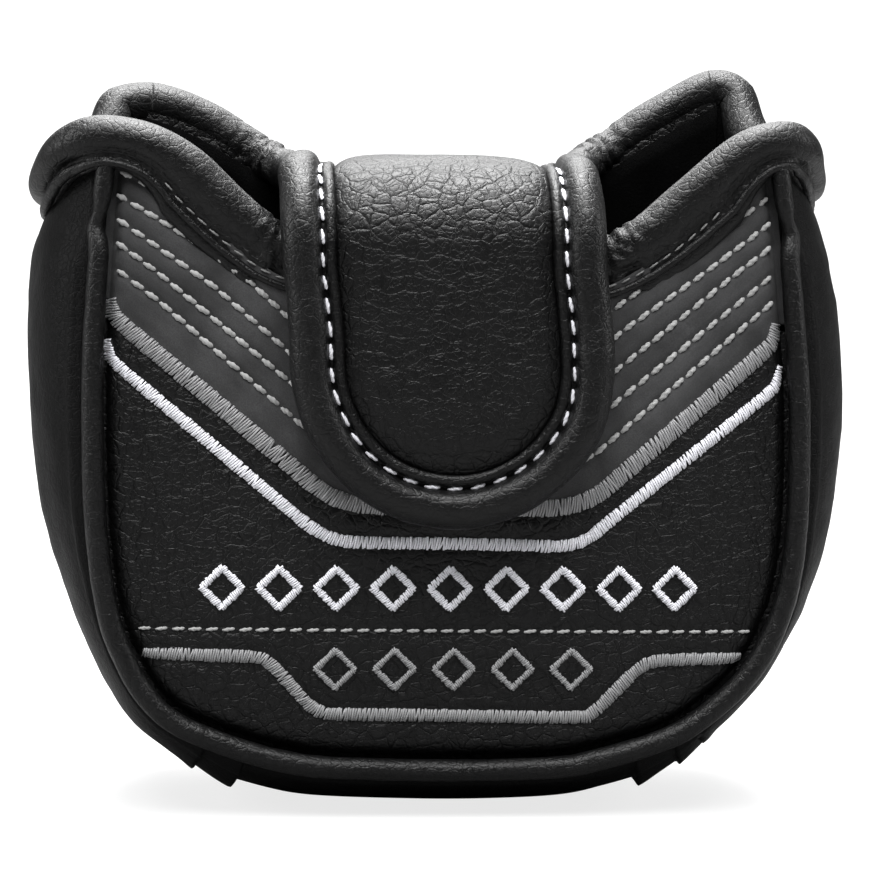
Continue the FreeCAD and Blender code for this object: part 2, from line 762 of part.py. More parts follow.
ROLL_TURN = "(%s - fold_depth)" % ROLL_FACE
for name, radii in (("binding", ["flap_roll", "flap_roll - rim_skin"]),
                    ("roll", ["flap_roll - rim_skin - layer_gap"])):
    tongue = body("flap_tongue_" + name)
    path = sketch(tongue, tongue.Name + "_path", "XZ_Plane", ROLL_FACE)
    draw(
        path,
        ("-" + ROLL_HALF, "fold_height"),
        ("-" + ROLL_HALF, TIP_HEIGHT),
        ("0", "flap_tip + flap_roll", ROLL_HALF, 1),
        (ROLL_HALF, TIP_HEIGHT, ROLL_HALF, 1),
        (ROLL_HALF, "fold_height"),
    )
    profile = sketch(tongue, tongue.Name + "_section", "XY_Plane", "fold_height")
    ring(profile, "-" + ROLL_HALF, "-" + ROLL_FACE, *radii)
    pipe(tongue, profile, path)
    DOC.recompute()
    path = sketch(tongue, tongue.Name + "_fold_path", "YZ_Plane", ROLL_HALF)
    draw(path, fold_point(ROLL_TURN, 2), fold_point(ROLL_TURN, 1) + (ROLL_TURN, -1))
    profile = sketch(tongue, tongue.Name + "_fold_section", "XY_Plane", "fold_height")
    ring(profile, ROLL_HALF, "-" + ROLL_FACE, *radii)
    mirror(tongue, pipe(tongue, profile, path))

    bridge = body("flap_bridge_" + name)
    path = sketch(bridge, bridge.Name + "_path", "YZ_Plane", ROLL_HALF)
    draw(
        path,
        ("back_hinge", "fold_height + " + ROLL_TURN),
        fold_point(ROLL_TURN, 0),
        fold_point(ROLL_TURN, 1) + (ROLL_TURN, 1),
    )
    profile = sketch(bridge, bridge.Name + "_section", "XZ_Plane", "-back_hinge")
    ring(profile, ROLL_HALF, "fold_height + " + ROLL_TURN, *radii)
    mirror(bridge, pipe(bridge, profile, path))

foam = [item for item in BODIES if item.Label == "flap_tongue_foam"][0]
DOC.recompute()
seat = sketch(foam, "flap_magnet_seat", "XZ_Plane", "flap_inner + lining + layer_gap")
ring(seat, "0", "magnet_height", "magnet_radius + layer_gap")
pocket = foam.newObject("PartDesign::Pocket", "flap_magnet_pocket")
pocket.Profile = seat
pocket.Reversed = True
bind(pocket, "Length", "magnet + 2 * layer_gap")

magnet = body("flap_magnet")
disc = sketch(magnet, "flap_magnet_disc", "XZ_Plane", "flap_inner + lining + 2 * layer_gap")
ring(disc, "0", "magnet_height", "magnet_radius")
pad(magnet, disc, "magnet")

thread = body("flap_stitching")
outline = sketch(thread, "flap_stitching_outline", "XZ_Plane",
                 "flap_inner + lining + flap_foam + skin + 2 * layer_gap + layer_gap / 2")
outer = "(flap_half - 2 * flap_roll - 1)"
inner = "(flap_half - 2 * flap_roll - 1 - stitch_width)"
draw(
    outline,
    ("-" + outer, "fold_height"),
    ("-" + outer, TIP_HEIGHT),
    ("0", "%s - %s" % (TIP_HEIGHT, outer), outer, 1),
    (outer, TIP_HEIGHT, outer, 1),
    (outer, "fold_height"),
    (inner, "fold_height"),
    (inner, TIP_HEIGHT),
    ("0", "%s - %s" % (TIP_HEIGHT, inner), inner, -1),
    ("-" + inner, TIP_HEIGHT, inner, -1),
    ("-" + inner, "fold_height"),
    ("-" + outer, "fold_height"),
)
pad(thread, outline, "trim")

# Finish -------------------------------------------------------------------------------------

DOC.recompute()
os.makedirs("parts", exist_ok=True)
for item in BODIES:
    for feature in item.Group + [item]:
        if "Invalid" in feature.State or "Error" in feature.State:
            raise RuntimeError("%s did not recompute" % feature.Label)
    shape = item.Shape
    if shape.isNull() or not shape.isValid() or not shape.Solids:
        raise RuntimeError("%s has no valid solid" % item.Label)
for item in BODIES:
    item.Shape.exportStep(os.path.join("parts", item.Label + ".step"))
    box = item.Shape.optimalBoundingBox(False, False)
    print("%-24s %d solids %9.1f mm3  x %6.1f %6.1f  y %6.1f %6.1f  z %6.1f %6.1f" % (
        item.Label, len(item.Shape.Solids), item.Shape.Volume,
        box.XMin, box.XMax, box.YMin, box.YMax, box.ZMin, box.ZMax))
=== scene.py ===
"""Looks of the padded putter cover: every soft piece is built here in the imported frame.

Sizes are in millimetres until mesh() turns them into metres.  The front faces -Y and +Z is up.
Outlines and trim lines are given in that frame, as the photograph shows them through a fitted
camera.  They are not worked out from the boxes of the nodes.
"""
import math
import bmesh
import bpy
import numpy as np
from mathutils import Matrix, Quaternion, Vector, noise


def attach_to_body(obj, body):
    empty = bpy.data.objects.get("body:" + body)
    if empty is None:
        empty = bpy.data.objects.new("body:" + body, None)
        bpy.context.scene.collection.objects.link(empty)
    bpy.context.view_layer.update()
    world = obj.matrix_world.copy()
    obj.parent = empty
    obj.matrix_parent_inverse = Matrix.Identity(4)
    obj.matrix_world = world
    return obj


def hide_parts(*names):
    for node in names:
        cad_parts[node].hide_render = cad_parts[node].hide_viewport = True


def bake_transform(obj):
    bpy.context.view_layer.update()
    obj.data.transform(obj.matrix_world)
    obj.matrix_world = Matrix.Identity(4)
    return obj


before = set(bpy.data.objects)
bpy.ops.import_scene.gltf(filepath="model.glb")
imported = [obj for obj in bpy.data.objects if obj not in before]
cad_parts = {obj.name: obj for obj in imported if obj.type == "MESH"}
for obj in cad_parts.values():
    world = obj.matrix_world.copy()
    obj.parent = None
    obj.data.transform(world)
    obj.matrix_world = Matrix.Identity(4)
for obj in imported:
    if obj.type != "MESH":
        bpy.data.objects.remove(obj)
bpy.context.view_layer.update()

RANDOM = np.random.default_rng(11)
SCENE = bpy.context.scene

# ------------------------------------------------------------------ curves and small helpers


def smooth_path(points, step):
    """Smooth curve through the points, cut into equal steps of about the given length."""
    fixed = np.array(points, float)
    ends = np.vstack([2 * fixed[0] - fixed[1], fixed, 2 * fixed[-1] - fixed[-2]])
    part = np.linspace(0, 1, 24, endpoint=False)[:, None]
    pieces = []
    for index in range(1, len(ends) - 2):
        a, b, c, d = ends[index - 1:index + 3]
        curve = 2 * b + (c - a) * part + (2 * a - 5 * b + 4 * c - d) * part ** 2
        pieces.append(0.5 * (curve + (3 * b - 3 * c + d - a) * part ** 3))
    return even(np.vstack(pieces + [fixed[-1:]]), step)


def lengths(path):
    """Distance along a polyline at each of its points."""
    return np.concatenate([[0], np.cumsum(np.linalg.norm(np.diff(path, axis=0), axis=1))])


def at_lengths(rows, run, wanted):
    """Rows of numbers at the wanted distances along a line whose points lie at the distances run."""
    return np.stack([np.interp(wanted, run, column) for column in rows.T], axis=1)


def even(path, step):
    """The same polyline with points at equal steps."""
    path = np.asarray(path, float)
    run = lengths(path)
    count = max(int(round(run[-1] / step)), 2) + 1
    return at_lengths(path, run, np.linspace(0, run[-1], count))


def unit(vectors):
    """Vectors scaled to length one."""
    vectors = np.asarray(vectors, float)
    return vectors / np.maximum(np.linalg.norm(vectors, axis=-1, keepdims=True), 1e-9)


def tangents(path):
    """Directions along a polyline."""
    return unit(np.gradient(np.asarray(path, float), axis=0))


def bumps(points, size, seed=0.0):
    """Smooth noise between about -1 and 1 at points in mm; size is the wave length in mm."""
    flat = np.asarray(points, float).reshape(-1, 3) / size + seed
    values = [noise.noise(Vector(p)) for p in flat]
    return np.array(values).reshape(np.asarray(points).shape[:-1])


def distance_to(path, x, z):
    """Distance of plane points to a polyline."""
    shape = np.shape(x)
    spots = np.stack([np.ravel(x), np.ravel(z)], axis=1)
    starts, ends = path[:-1], path[1:]
    along = ends - starts
    square = np.maximum((along ** 2).sum(axis=1), 1e-12)
    best = np.full(len(spots), 1e9)
    for a, v, q in zip(starts, along, square):
        t = np.clip(((spots - a) @ v) / q, 0, 1)
        gap = spots - a - t[:, None] * v
        best = np.minimum(best, (gap ** 2).sum(axis=1))
    return np.sqrt(best).reshape(shape)


# ------------------------------------------------------------------ mesh builders


def mesh(name, points, faces, material, flat=0):
    """Object from points in mm and faces, smooth but for its caps and its last few flat faces."""
    data = bpy.data.meshes.new(name)
    data.from_pydata((np.asarray(points, float).reshape(-1, 3) * 0.001).tolist(), [], faces)
    work = bmesh.new()
    work.from_mesh(data)
    bmesh.ops.remove_doubles(work, verts=work.verts, dist=1e-6)
    bmesh.ops.recalc_face_normals(work, faces=work.faces)
    work.to_mesh(data)
    work.free()
    smooth = len(data.polygons) - flat
    data.polygons.foreach_set("use_smooth", [len(face.vertices) <= 4 and face.index < smooth
                                             for face in data.polygons])
    data.materials.append(material)
    item = bpy.data.objects.new(name, data)
    SCENE.collection.objects.link(item)
    return item


def grid_faces(rows, cols, wrap=False, start=0):
    """Quads of a grid of points; wrap joins the last column to the first."""
    faces = []
    for r in range(rows - 1):
        for c in range(cols if wrap else cols - 1):
            n = (c + 1) % cols
            faces.append((start + r * cols + c, start + r * cols + n,
                          start + (r + 1) * cols + n, start + (r + 1) * cols + c))
    return faces


def tube_faces(rows, cols):
    """Quads round a tube of points, and a cap at each end."""
    caps = [tuple(range(cols)), tuple(range((rows - 1) * cols, rows * cols))]
    return grid_faces(rows, cols, True) + caps


def copies(faces, size, count):
    """Faces of a number of shapes that follow each other, each with size points."""
    return [tuple(i + k * size for i in face) for k in range(count) for face in faces]


def shell(name, outer, inner, material, wrap=False):
    """Closed sheet between two matching grids of points."""
    rows, cols = outer.shape[:2]
    size = rows * cols
    faces = grid_faces(rows, cols, wrap)
    faces += [tuple(reversed(face)) for face in grid_faces(rows, cols, wrap, size)]
    loops = [[c for c in range(cols)], [(rows - 1) * cols + c for c in range(cols)]]
    if wrap:
        for loop in loops:
            loop.append(loop[0])
    else:
        loops += [[r * cols for r in range(rows)], [r * cols + cols - 1 for r in range(rows)]]
    border = [(a, b, b + size, a + size) for loop in loops for a, b in zip(loop, loop[1:])]
    points = np.concatenate([outer.reshape(-1, 3), inner.reshape(-1, 3)])
    return mesh(name, points, faces + border, material, len(border))


def sweep(name, rings, material):
    """Closed tube through rings of points, with capped ends."""
    return mesh(name, rings, tube_faces(*rings.shape[:2]), material)


def tube(name, path, radius, material, sides=14, ripple=0.0, size=3.0):
    """Round tube along a space path, with gentle unevenness."""
    ahead = tangents(path)
    side = np.zeros_like(path)
    start = np.array([0.0, 1.0, 0.0]) if abs(ahead[0][1]) < 0.9 else np.array([1.0, 0.0, 0.0])
    for index, direction in enumerate(ahead):
        start = unit(start - direction * np.dot(start, direction))
        side[index] = start
    up = np.cross(ahead, side)
    turn = np.linspace(0, 2 * math.pi, sides, endpoint=False)
    circle = np.stack([np.cos(turn), np.sin(turn)], axis=1)
    radius = np.broadcast_to(np.asarray(radius, float), (len(path),))
    rings = path[:, None] + radius[:, None, None] * (
        circle[None, :, :1] * side[:, None] + circle[None, :, 1:] * up[:, None])
    if ripple:
        away = unit(rings - path[:, None])
        rings = rings + away * (bumps(rings, size) * ripple)[..., None]
    return sweep(name, rings, material)


def many(name, shape, faces, spots, along, across, up, material):
    """One mesh of repeated small shapes, each placed by its own directions."""
    shape = np.asarray(shape, float)
    if shape.ndim == 2:
        shape = np.broadcast_to(shape, (len(spots),) + shape.shape)
    points = (spots[:, None] + shape[..., :1] * along[:, None] + shape[..., 1:2] * across[:, None]
              + shape[..., 2:] * up[:, None])
    return mesh(name, points, copies(faces, shape.shape[1], len(spots)), material)


# ------------------------------------------------------------------ materials


def material(name, build):
    """New node material; build(add, link, shader) fills it."""
    item = bpy.data.materials.new(name)
    item.use_nodes = True
    tree = item.node_tree
    shader = tree.nodes["Principled BSDF"]

    def add(kind, **values):
        node = tree.nodes.new(kind)
        for key, value in values.items():
            if key in node.inputs:
                node.inputs[key].default_value = value
            else:
                setattr(node, key, value)
        return node

    def link(source, output, target, socket):
        tree.links.new(source.outputs[output], target.inputs[socket])

    build(add, link, shader)
    return item


def ramp(add, stops):
    """Colour ramp node with grey stops [(position, level)]."""
    node = add("ShaderNodeValToRGB")
    elements = node.color_ramp.elements
    while len(elements) < len(stops):
        elements.new(0.5)
    for element, (position, level) in zip(elements, stops):
        element.position = position
        element.color = (level, level, level, 1)
    return node


def leather(name, cell, depth, tone, rough, wrinkle=0.35, gloss=0.22, ior=1.5):
    """Synthetic leather: creased cells of the given size in mm, finer cells, pores, slow unevenness, and
    painted shade that darkens the creases.
    """
    def build(add, link, shader):
        place = add("ShaderNodeTexCoord")
        warp = add("ShaderNodeTexNoise", Scale=520.0 / cell, Detail=4.0, Roughness=0.6)
        mix = add("ShaderNodeVectorMath", operation="MULTIPLY_ADD")
        mix.inputs[1].default_value = (cell * 0.0010,) * 3
        link(place, "Object", warp, "Vector")
        link(warp, "Color", mix, 0)
        link(place, "Object", mix, 2)
        creases = []
        for size, stops in ((1.0, [(0.0, 0.0), (0.05, 0.50), (0.14, 0.88), (0.35, 1.0)]),
                            (0.42, [(0.0, 0.55), (0.07, 0.84), (0.3, 1.0)])):
            cells = add("ShaderNodeTexVoronoi", feature="DISTANCE_TO_EDGE", Scale=1000.0 / (cell * size))
            link(mix, 0, cells, "Vector")
            crease = ramp(add, stops)
            link(cells, "Distance", crease, "Fac")
            creases.append(crease)
        both = add("ShaderNodeMath", operation="MULTIPLY")
        link(creases[0], "Color", both, 0)
        link(creases[1], "Color", both, 1)
        pores = add("ShaderNodeTexNoise", Scale=4600.0, Detail=4.0, Roughness=0.65)
        link(place, "Object", pores, "Vector")
        slow = add("ShaderNodeTexNoise", Scale=120.0, Detail=3.0, Roughness=0.55)
        link(place, "Object", slow, "Vector")
        first = add("ShaderNodeBump", Strength=wrinkle, Distance=0.0011)
        link(slow, "Fac", first, "Height")
        second = add("ShaderNodeBump", Strength=1.0, Distance=depth * 0.001)
        link(both, "Value", second, "Height")
        link(first, "Normal", second, "Normal")
        third = add("ShaderNodeBump", Strength=0.45, Distance=0.00005)
        link(pores, "Fac", third, "Height")
        link(second, "Normal", third, "Normal")
        link(third, "Normal", shader, "Normal")
        # Painted shade: the base colour darkens to 40 % of the tone along the creases of the grain, shade
        # painted into the crease lines on top of their bump.
        colour = add("ShaderNodeMix", data_type="RGBA")
        colour.inputs["A"].default_value = (tone * 0.40, tone * 0.40, tone * 0.42, 1)
        colour.inputs["B"].default_value = (tone, tone, tone * 1.04, 1)
        link(both, "Value", colour, "Factor")
        link(colour, "Result", shader, "Base Color")
        sheen = add("ShaderNodeMapRange")
        sheen.inputs["To Min"].default_value = rough + 0.12
        sheen.inputs["To Max"].default_value = rough - 0.08
        link(slow, "Fac", sheen, "Value")
        link(sheen, "Result", shader, "Roughness")
        shader.inputs["Specular IOR Level"].default_value = gloss
        shader.inputs["IOR"].default_value = ior
    return material(name, build)


def cloth(name, tone, rough, grain, depth, fuzz, tint=1.02, gloss=0.2):
    """Soft matt cloth with a short nap; grain is the size of its unevenness in mm."""
    def build(add, link, shader):
        place = add("ShaderNodeTexCoord")
        fine = add("ShaderNodeTexNoise", Scale=1000.0 / grain, Detail=5.0, Roughness=0.7)
        broad = add("ShaderNodeTexNoise", Scale=160.0, Detail=3.0)
        link(place, "Object", fine, "Vector")
        link(place, "Object", broad, "Vector")
        low = add("ShaderNodeBump", Strength=0.25, Distance=0.0006)
        link(broad, "Fac", low, "Height")
        high = add("ShaderNodeBump", Strength=0.9, Distance=depth * 0.001)
        link(fine, "Fac", high, "Height")
        link(low, "Normal", high, "Normal")
        link(high, "Normal", shader, "Normal")
        blend = add("ShaderNodeMath", operation="MULTIPLY")
        link(fine, "Fac", blend, 0)
        link(broad, "Fac", blend, 1)
        colour = add("ShaderNodeMix", data_type="RGBA")
        colour.inputs["A"].default_value = (tone * 0.62, tone * 0.62, tone * 0.62 * tint, 1)
        colour.inputs["B"].default_value = (tone * 1.5, tone * 1.5, tone * 1.5 * tint, 1)
        stretch = add("ShaderNodeMapRange")
        stretch.inputs["From Min"].default_value = 0.12
        stretch.inputs["From Max"].default_value = 0.40
        link(blend, "Value", stretch, "Value")
        link(stretch, "Result", colour, "Factor")
        link(colour, "Result", shader, "Base Color")
        shader.inputs["Roughness"].default_value = rough
        shader.inputs["Sheen Weight"].default_value = fuzz
        shader.inputs["Sheen Roughness"].default_value = 0.45
        shader.inputs["Specular IOR Level"].default_value = gloss
    return material(name, build)


def thread(name, tone, tint, rough=0.5):
    """Sewing thread: slightly uneven tone and fine fibres."""
    def build(add, link, shader):
        place = add("ShaderNodeTexCoord")
        shade = add("ShaderNodeTexNoise", Scale=900.0, Detail=2.0)
        fibre = add("ShaderNodeTexNoise", Scale=9000.0, Detail=3.0)
        link(place, "Object", shade, "Vector")
        link(place, "Object", fibre, "Vector")
        colour = add("ShaderNodeMix", data_type="RGBA")
        colour.inputs["A"].default_value = (tone * 0.74, tone * 0.74, tone * 0.74 * tint, 1)
        colour.inputs["B"].default_value = (tone * 1.1, tone * 1.1, min(tone * 1.1 * tint, 1), 1)
        link(shade, "Fac", colour, "Factor")
        link(colour, "Result", shader, "Base Color")
        bump = add("ShaderNodeBump", Strength=0.5, Distance=0.00006)
        link(fibre, "Fac", bump, "Height")
        link(bump, "Normal", shader, "Normal")
        shader.inputs["Roughness"].default_value = rough
        shader.inputs["Sheen Weight"].default_value = 0.15
    return material(name, build)


def steel():
    """Nickel-plated steel of the hidden closing magnets."""
    def build(add, link, shader):
        place = add("ShaderNodeTexCoord")
        marks = add("ShaderNodeTexNoise", Scale=700.0, Detail=3.0)
        link(place, "Object", marks, "Vector")
        rough = add("ShaderNodeMapRange")
        rough.inputs["To Min"].default_value = 0.22
        rough.inputs["To Max"].default_value = 0.42
        link(marks, "Fac", rough, "Value")
        link(rough, "Result", shader, "Roughness")
        shader.inputs["Base Color"].default_value = (0.55, 0.55, 0.56, 1)
        shader.inputs["Metallic"].default_value = 1.0
    return material("nickel_steel", build)


PEBBLED = leather("pebbled_leather", 2.4, 0.14, 0.0035, 0.40)
PANEL = leather("panel_leather", 2.2, 0.16, 0.0040, 0.40, 0.25)
BINDING = leather("binding_leather", 1.5, 0.065, 0.0035, 0.38, 0.35, 0.25)
PLAIN = leather("gusset_leather", 1.0, 0.06, 0.0022, 0.46, 0.45, 0.45, 1.2)
MICROFIBRE = cloth("grey_microfibre", 0.040, 0.9, 0.22, 0.05, 0.06)
PLUSH = cloth("plush_lining", 0.0016, 1.0, 0.45, 0.35, 0.0, 1.02, 0.01)
GREY_SATIN = thread("grey_satin", 0.28, 1.02, 0.38)
WHITE_SATIN = thread("white_satin", 0.82, 1.06, 0.45)
GREY_THREAD = thread("grey_thread", 0.34, 0.99, 0.6)
DARK_THREAD = thread("dark_thread", 0.16, 0.99, 0.6)
STEEL = steel()

# ------------------------------------------------------------------ front outline and surface

SEAM_POINTS = [
    (-52.8, 102), (-53.5, 95.6), (-54.2, 84), (-54.8, 72.8), (-54.8, 60), (-54.5, 49.7), (-53.9, 42),
    (-52.8, 34.3), (-51.1, 28.1), (-47.9, 21.4), (-44.6, 17.2), (-40.9, 14.5), (-36.5, 12.6),
    (-31.9, 10.9), (-25.7, 9.2), (-19.5, 8.2), (-7, 7.7), (5.5, 7.6), (18.1, 8.1), (24.6, 9.4),
    (30.7, 11.1), (36.8, 13.5), (41.8, 17.0), (46.6, 21.5), (50.1, 26.6), (53.0, 34), (54.4, 42.5),
    (54.8, 50.3), (54.8, 58.2), (54.6, 66), (54.0, 73.8), (53.2, 81.6), (52.2, 90.9), (51.2, 98),
    (50.6, 102)]
SEAM = smooth_path(SEAM_POINTS, 0.8)
SEAM_COARSE = SEAM[::2]
GROOVE = 2.0
# Distances from the middle plane: wall faces at the seam, flat backs of the padding, edges of the
# gusset strip and middles of the two pipings.
FACE_Y = 18.7
BACKING_Y = 17.2
GUSSET_Y = 20.2
PIPING_Y = 21.1

# Trim lines on the front as (x, z) points.
YOKE_LINE = smooth_path([
    (-52.3, 80.4), (-51.8, 78.7), (-50.4, 76.8), (-37, 65.8), (-24.2, 55.1), (-20.5, 52.1),
    (-16.5, 50.0), (-11, 49.2), (0, 49.0), (10.9, 49.0), (17.5, 49.2), (22.5, 50.8), (27, 54.4),
    (38, 64.0), (49.0, 73.6), (50.5, 75.5), (50.9, 77.6)], 0.5)
WHITE_LINE = smooth_path([
    (-52.8, 74.2), (-52.3, 72.3), (-51.0, 70.4), (-37.6, 59.3), (-24.5, 48.4), (-20.7, 45.5),
    (-17, 43.9), (-12, 43.5), (0, 43.4), (12, 43.2), (17.5, 43.1), (21.5, 44.2), (26, 47.8), (38, 57.5),
    (49.5, 66.8), (51.1, 68.6), (51.7, 71.0)], 0.5)
LOW_LINE = smooth_path([
    (-46.9, 26.0), (-38, 25.8), (-29.7, 25.5), (-27.3, 24.4), (-24.4, 21.4), (-21.5, 18.2),
    (-19.2, 16.8), (-16, 16.5), (0, 16.3), (20, 16.0), (23, 16.7), (26.5, 20.1), (30, 23.6),
    (32.3, 24.8), (35.5, 25.1), (46.4, 25.3)], 0.5)
LEVEL_LINE = [(-48.0, 29.9), (47.9, 29.5)]
QUILT_LEFT = [[(-50.6, 99.9), (-46.5, 97.9), (-40.5, 94.0)],
              [(-51.0, 96.4), (-44.2, 92.4), (-38.6, 89.0), (-31.0, 83.5), (-22.5, 75.8)],
              [(-51.0, 92.7), (-46.2, 89.4), (-36.3, 82.6), (-21.5, 69.9)],
              [(-51.2, 89.2), (-44.6, 84.4), (-21.0, 65.2)],
              [(-51.2, 85.1), (-44.6, 80.2), (-20.0, 59.2)]]
QUILT_RIGHT = [[(20.5, 76.6), (28.9, 82.7), (39.6, 90.6), (48.9, 97.1)],
               [(20.5, 71.4), (26.7, 76.7), (38.2, 84.9), (49.4, 93.3)],
               [(20.5, 66.5), (26.8, 71.4), (44.4, 85.7), (49.6, 89.6)],
               [(20.5, 61.0), (26.9, 66.5), (49.9, 85.2)],
               [(15.0, 54.9), (18.5, 55.5), (22.5, 57.4), (27.0, 61.3), (41.5, 73.8), (50.2, 81.2)]]
SEWN = [np.array(line) for line in QUILT_LEFT + QUILT_RIGHT + [LEVEL_LINE]]


def crown(x, z, swell):
    """Rise of a padded wall: steep beside its seam, then swelling slowly towards the middle."""
    edge = np.maximum(distance_to(SEAM_COARSE, x, z) - GROOVE, 0)
    return 2.1 * (1 - np.exp(-(edge / 0.9) ** 1.3)) + swell * (1 - np.exp(-edge / 26.0))


def front_y(x, z):
    """Y of the padded front face at plane points, tucked in at the seam and at each sewn line."""
    x, z = np.asarray(x, float), np.asarray(z, float)
    rise = crown(x, z, 2.5)
    for line in SEWN:
        rise = rise - 0.42 * np.exp(-(distance_to(line, x, z) / 0.7) ** 2)
    for line, width in ((YOKE_LINE, 2.7), (WHITE_LINE, 1.9), (LOW_LINE, 2.0)):
        rise = rise - 0.3 * np.exp(-(distance_to(line[::4], x, z) / (0.8 * width)) ** 4)
    return -(FACE_Y + rise)


def on_front(points, lift=0.0):
    """Space points on the front face for plane points (x, z)."""
    points = np.asarray(points, float)
    y = front_y(points[..., 0], points[..., 1]) - lift
    return np.stack([points[..., 0], y, points[..., 1]], axis=-1)


def line_height(line, x):
    """Height of a trim line at x."""
    return np.interp(x, line[:, 0], line[:, 1])


# Middle of the rolled mouth binding, from the left back horn round the front to the right one.
RIM_POINTS = [
    (-47.0, 20.2, 111.9), (-50.2, 20.0, 111.6), (-52.6, 18.9, 110.2), (-54.0, 16.6, 107.0),
    (-55.6, 13.2, 102.8), (-58.4, 9.2, 99.2), (-60.5, 4.0, 96.9), (-61.7, -2.0, 96.4),
    (-62.0, -8.0, 97.9), (-61.0, -12.8, 100.4), (-59.2, -16.6, 103.0), (-56.0, -19.1, 104.7),
    (-52.5, -19.9, 105.2), (-48.0, -20.1, 104.5), (-44.0, -20.1, 102.9), (-40.4, -20.1, 100.5),
    (-36.5, -20.1, 96.9), (-33.2, -20.1, 93.9), (-29.8, -20.1, 91.2), (-26.2, -20.1, 88.9),
    (-20.0, -20.1, 87.2), (-10.0, -20.1, 86.5), (0.0, -20.1, 86.3), (10.0, -20.1, 86.3),
    (18.0, -20.1, 86.7), (23.5, -20.1, 87.8), (27.6, -20.1, 89.8), (31.2, -20.1, 92.2),
    (34.4, -20.1, 94.8), (37.2, -20.1, 97.3), (40.1, -20.1, 100.0), (43.2, -20.1, 102.6),
    (46.4, -20.1, 104.6), (49.6, -20.0, 105.8), (52.4, -19.2, 105.9), (54.7, -16.4, 104.4),
    (56.4, -11.8, 101.9), (57.7, -6.0, 99.6), (58.2, 0.0, 98.6), (57.2, 6.0, 99.7), (54.6, 11.2, 103.4),
    (52.0, 15.0, 108.4), (50.9, 18.2, 113.2), (49.6, 19.7, 115.6), (46.9, 20.2, 115.5)]
RIM = smooth_path(RIM_POINTS, 0.55)
FRONT_RIM = RIM[(RIM[:, 1] < -17.5)]

# Middle of the binding from each back horn down the back wall and out along the flap edge.
CORNER_LEFT = smooth_path([
    (-47.0, 20.2, 111.9), (-43.4, 20.3, 110.9), (-38.6, 20.3, 108.9), (-33.6, 20.1, 106.0),
    (-29.6, 19.3, 103.5), (-26.7, 17.6, 101.9), (-24.7, 14.9, 100.9), (-23.3, 11.0, 100.5),
    (-22.4, 6.0, 100.4), (-22.3, 1.0, 100.4), (-22.36, -2.0, 100.45)], 0.55)
CORNER_RIGHT = smooth_path([
    (20.45, -2.0, 100.45), (20.8, 1.0, 100.4), (21.5, 6.0, 100.4), (22.7, 11.0, 100.7),
    (24.2, 15.2, 101.7), (26.5, 18.0, 103.0), (29.8, 19.6, 105.0), (34.6, 20.2, 108.3),
    (41.4, 20.3, 112.5), (46.9, 20.2, 115.5)], 0.55)


# Where the rolled binding is pushed into small sharp folds.
CRINKLES = [(-25.5, -20, 88.8), (24.5, -20, 88.2), (-57, 11, 101), (-28.0, 18.5, 102.5), (27, 18.5, 103)]


def front_top(x):
    """Height where the front face goes under the mouth binding."""
    return np.interp(x, FRONT_RIM[:, 0], FRONT_RIM[:, 2]) - 4.5


# ------------------------------------------------------------------ front panel and yoke


def inset_seam(inward_by):
    """Panel seam moved towards the middle of the panel."""
    ahead = tangents(SEAM)
    return SEAM + np.stack([-ahead[:, 1], ahead[:, 0]], axis=1) * inward_by


def between(lower, upper, rows):
    """Grid of plane points from a lower line to an upper one, finer near both."""
    upper = upper[np.linspace(0, len(upper) - 1, len(lower)).round().astype(int)]
    part = (1 - np.cos(np.linspace(0, math.pi, rows))) / 2
    return lower[None] * (1 - part[:, None, None]) + upper[None] * part[:, None, None]


def backed(name, outer, y, material):
    """Padded panel from its outer face to a flat back at y."""
    inner = outer.copy()
    inner[..., 1] = y
    return shell(name, outer, inner, material)


def front_pieces():
    """Padded yoke and lower panel of the front wall."""
    seam = inset_seam(0.8)
    left_start = int(np.argmin(np.abs(seam[:len(seam) // 2, 1] - 79.0)))
    right_start = len(seam) // 2 + int(np.argmin(np.abs(seam[len(seam) // 2:, 1] - 76.5)))
    lower = even(seam[left_start:right_start + 1], 0.8)
    upper = even(np.vstack([lower[:1], YOKE_LINE[2:-2], lower[-1:]]), 0.2)
    outer = on_front(between(lower, upper, 80))
    outer[..., 1] -= 0.10 * bumps(outer, 9.0)
    panel = backed("front_panel_pad", outer, -BACKING_Y, PANEL)

    columns = np.concatenate([np.linspace(-53.6, -48.5, 36), np.linspace(-48, 46.0, 190),
                              np.linspace(46.3, 52.8, 40)])
    part = np.linspace(0, 1, 70)
    bottom = line_height(YOKE_LINE, columns)
    top = front_top(columns)
    z = bottom[None] + (top - bottom)[None] * part[:, None]
    x = np.broadcast_to(columns[None], z.shape)
    outer = on_front(np.stack([x, z], axis=-1), 0.05)
    outer[..., 1] -= 0.06 * bumps(outer, 6.0)
    return panel, backed("front_yoke_pad", outer, -BACKING_Y, MICROFIBRE)


# ------------------------------------------------------------------ gusset


def gusset_bulge(x, z):
    """How far the gusset stands out from the seam, by place along the seam."""
    heights = [7.5, 11, 15, 21, 28, 35, 42, 50, 60, 80, 92]
    left = np.interp(z, heights, [7.7, 7.5, 6.7, 5.9, 5.9, 6.9, 8.4, 9.6, 10.4, 11.2, 11.0])
    right = np.interp(z, heights, [7.7, 7.5, 6.6, 5.8, 5.7, 6.6, 8.0, 9.3, 10.3, 10.2, 8.4])
    return np.where(x < 0, left, right)


# Folded tucks at the lower corners as (middle, width, height, side).
TUCKS = [(-34.4, 6.0, 2.3, 1), (-38.7, 3.2, 1.5, 1),
         (32.9, 5.8, 2.4, -1), (37.4, 3.0, 1.5, -1), (40.0, 1.6, 0.8, -1)]


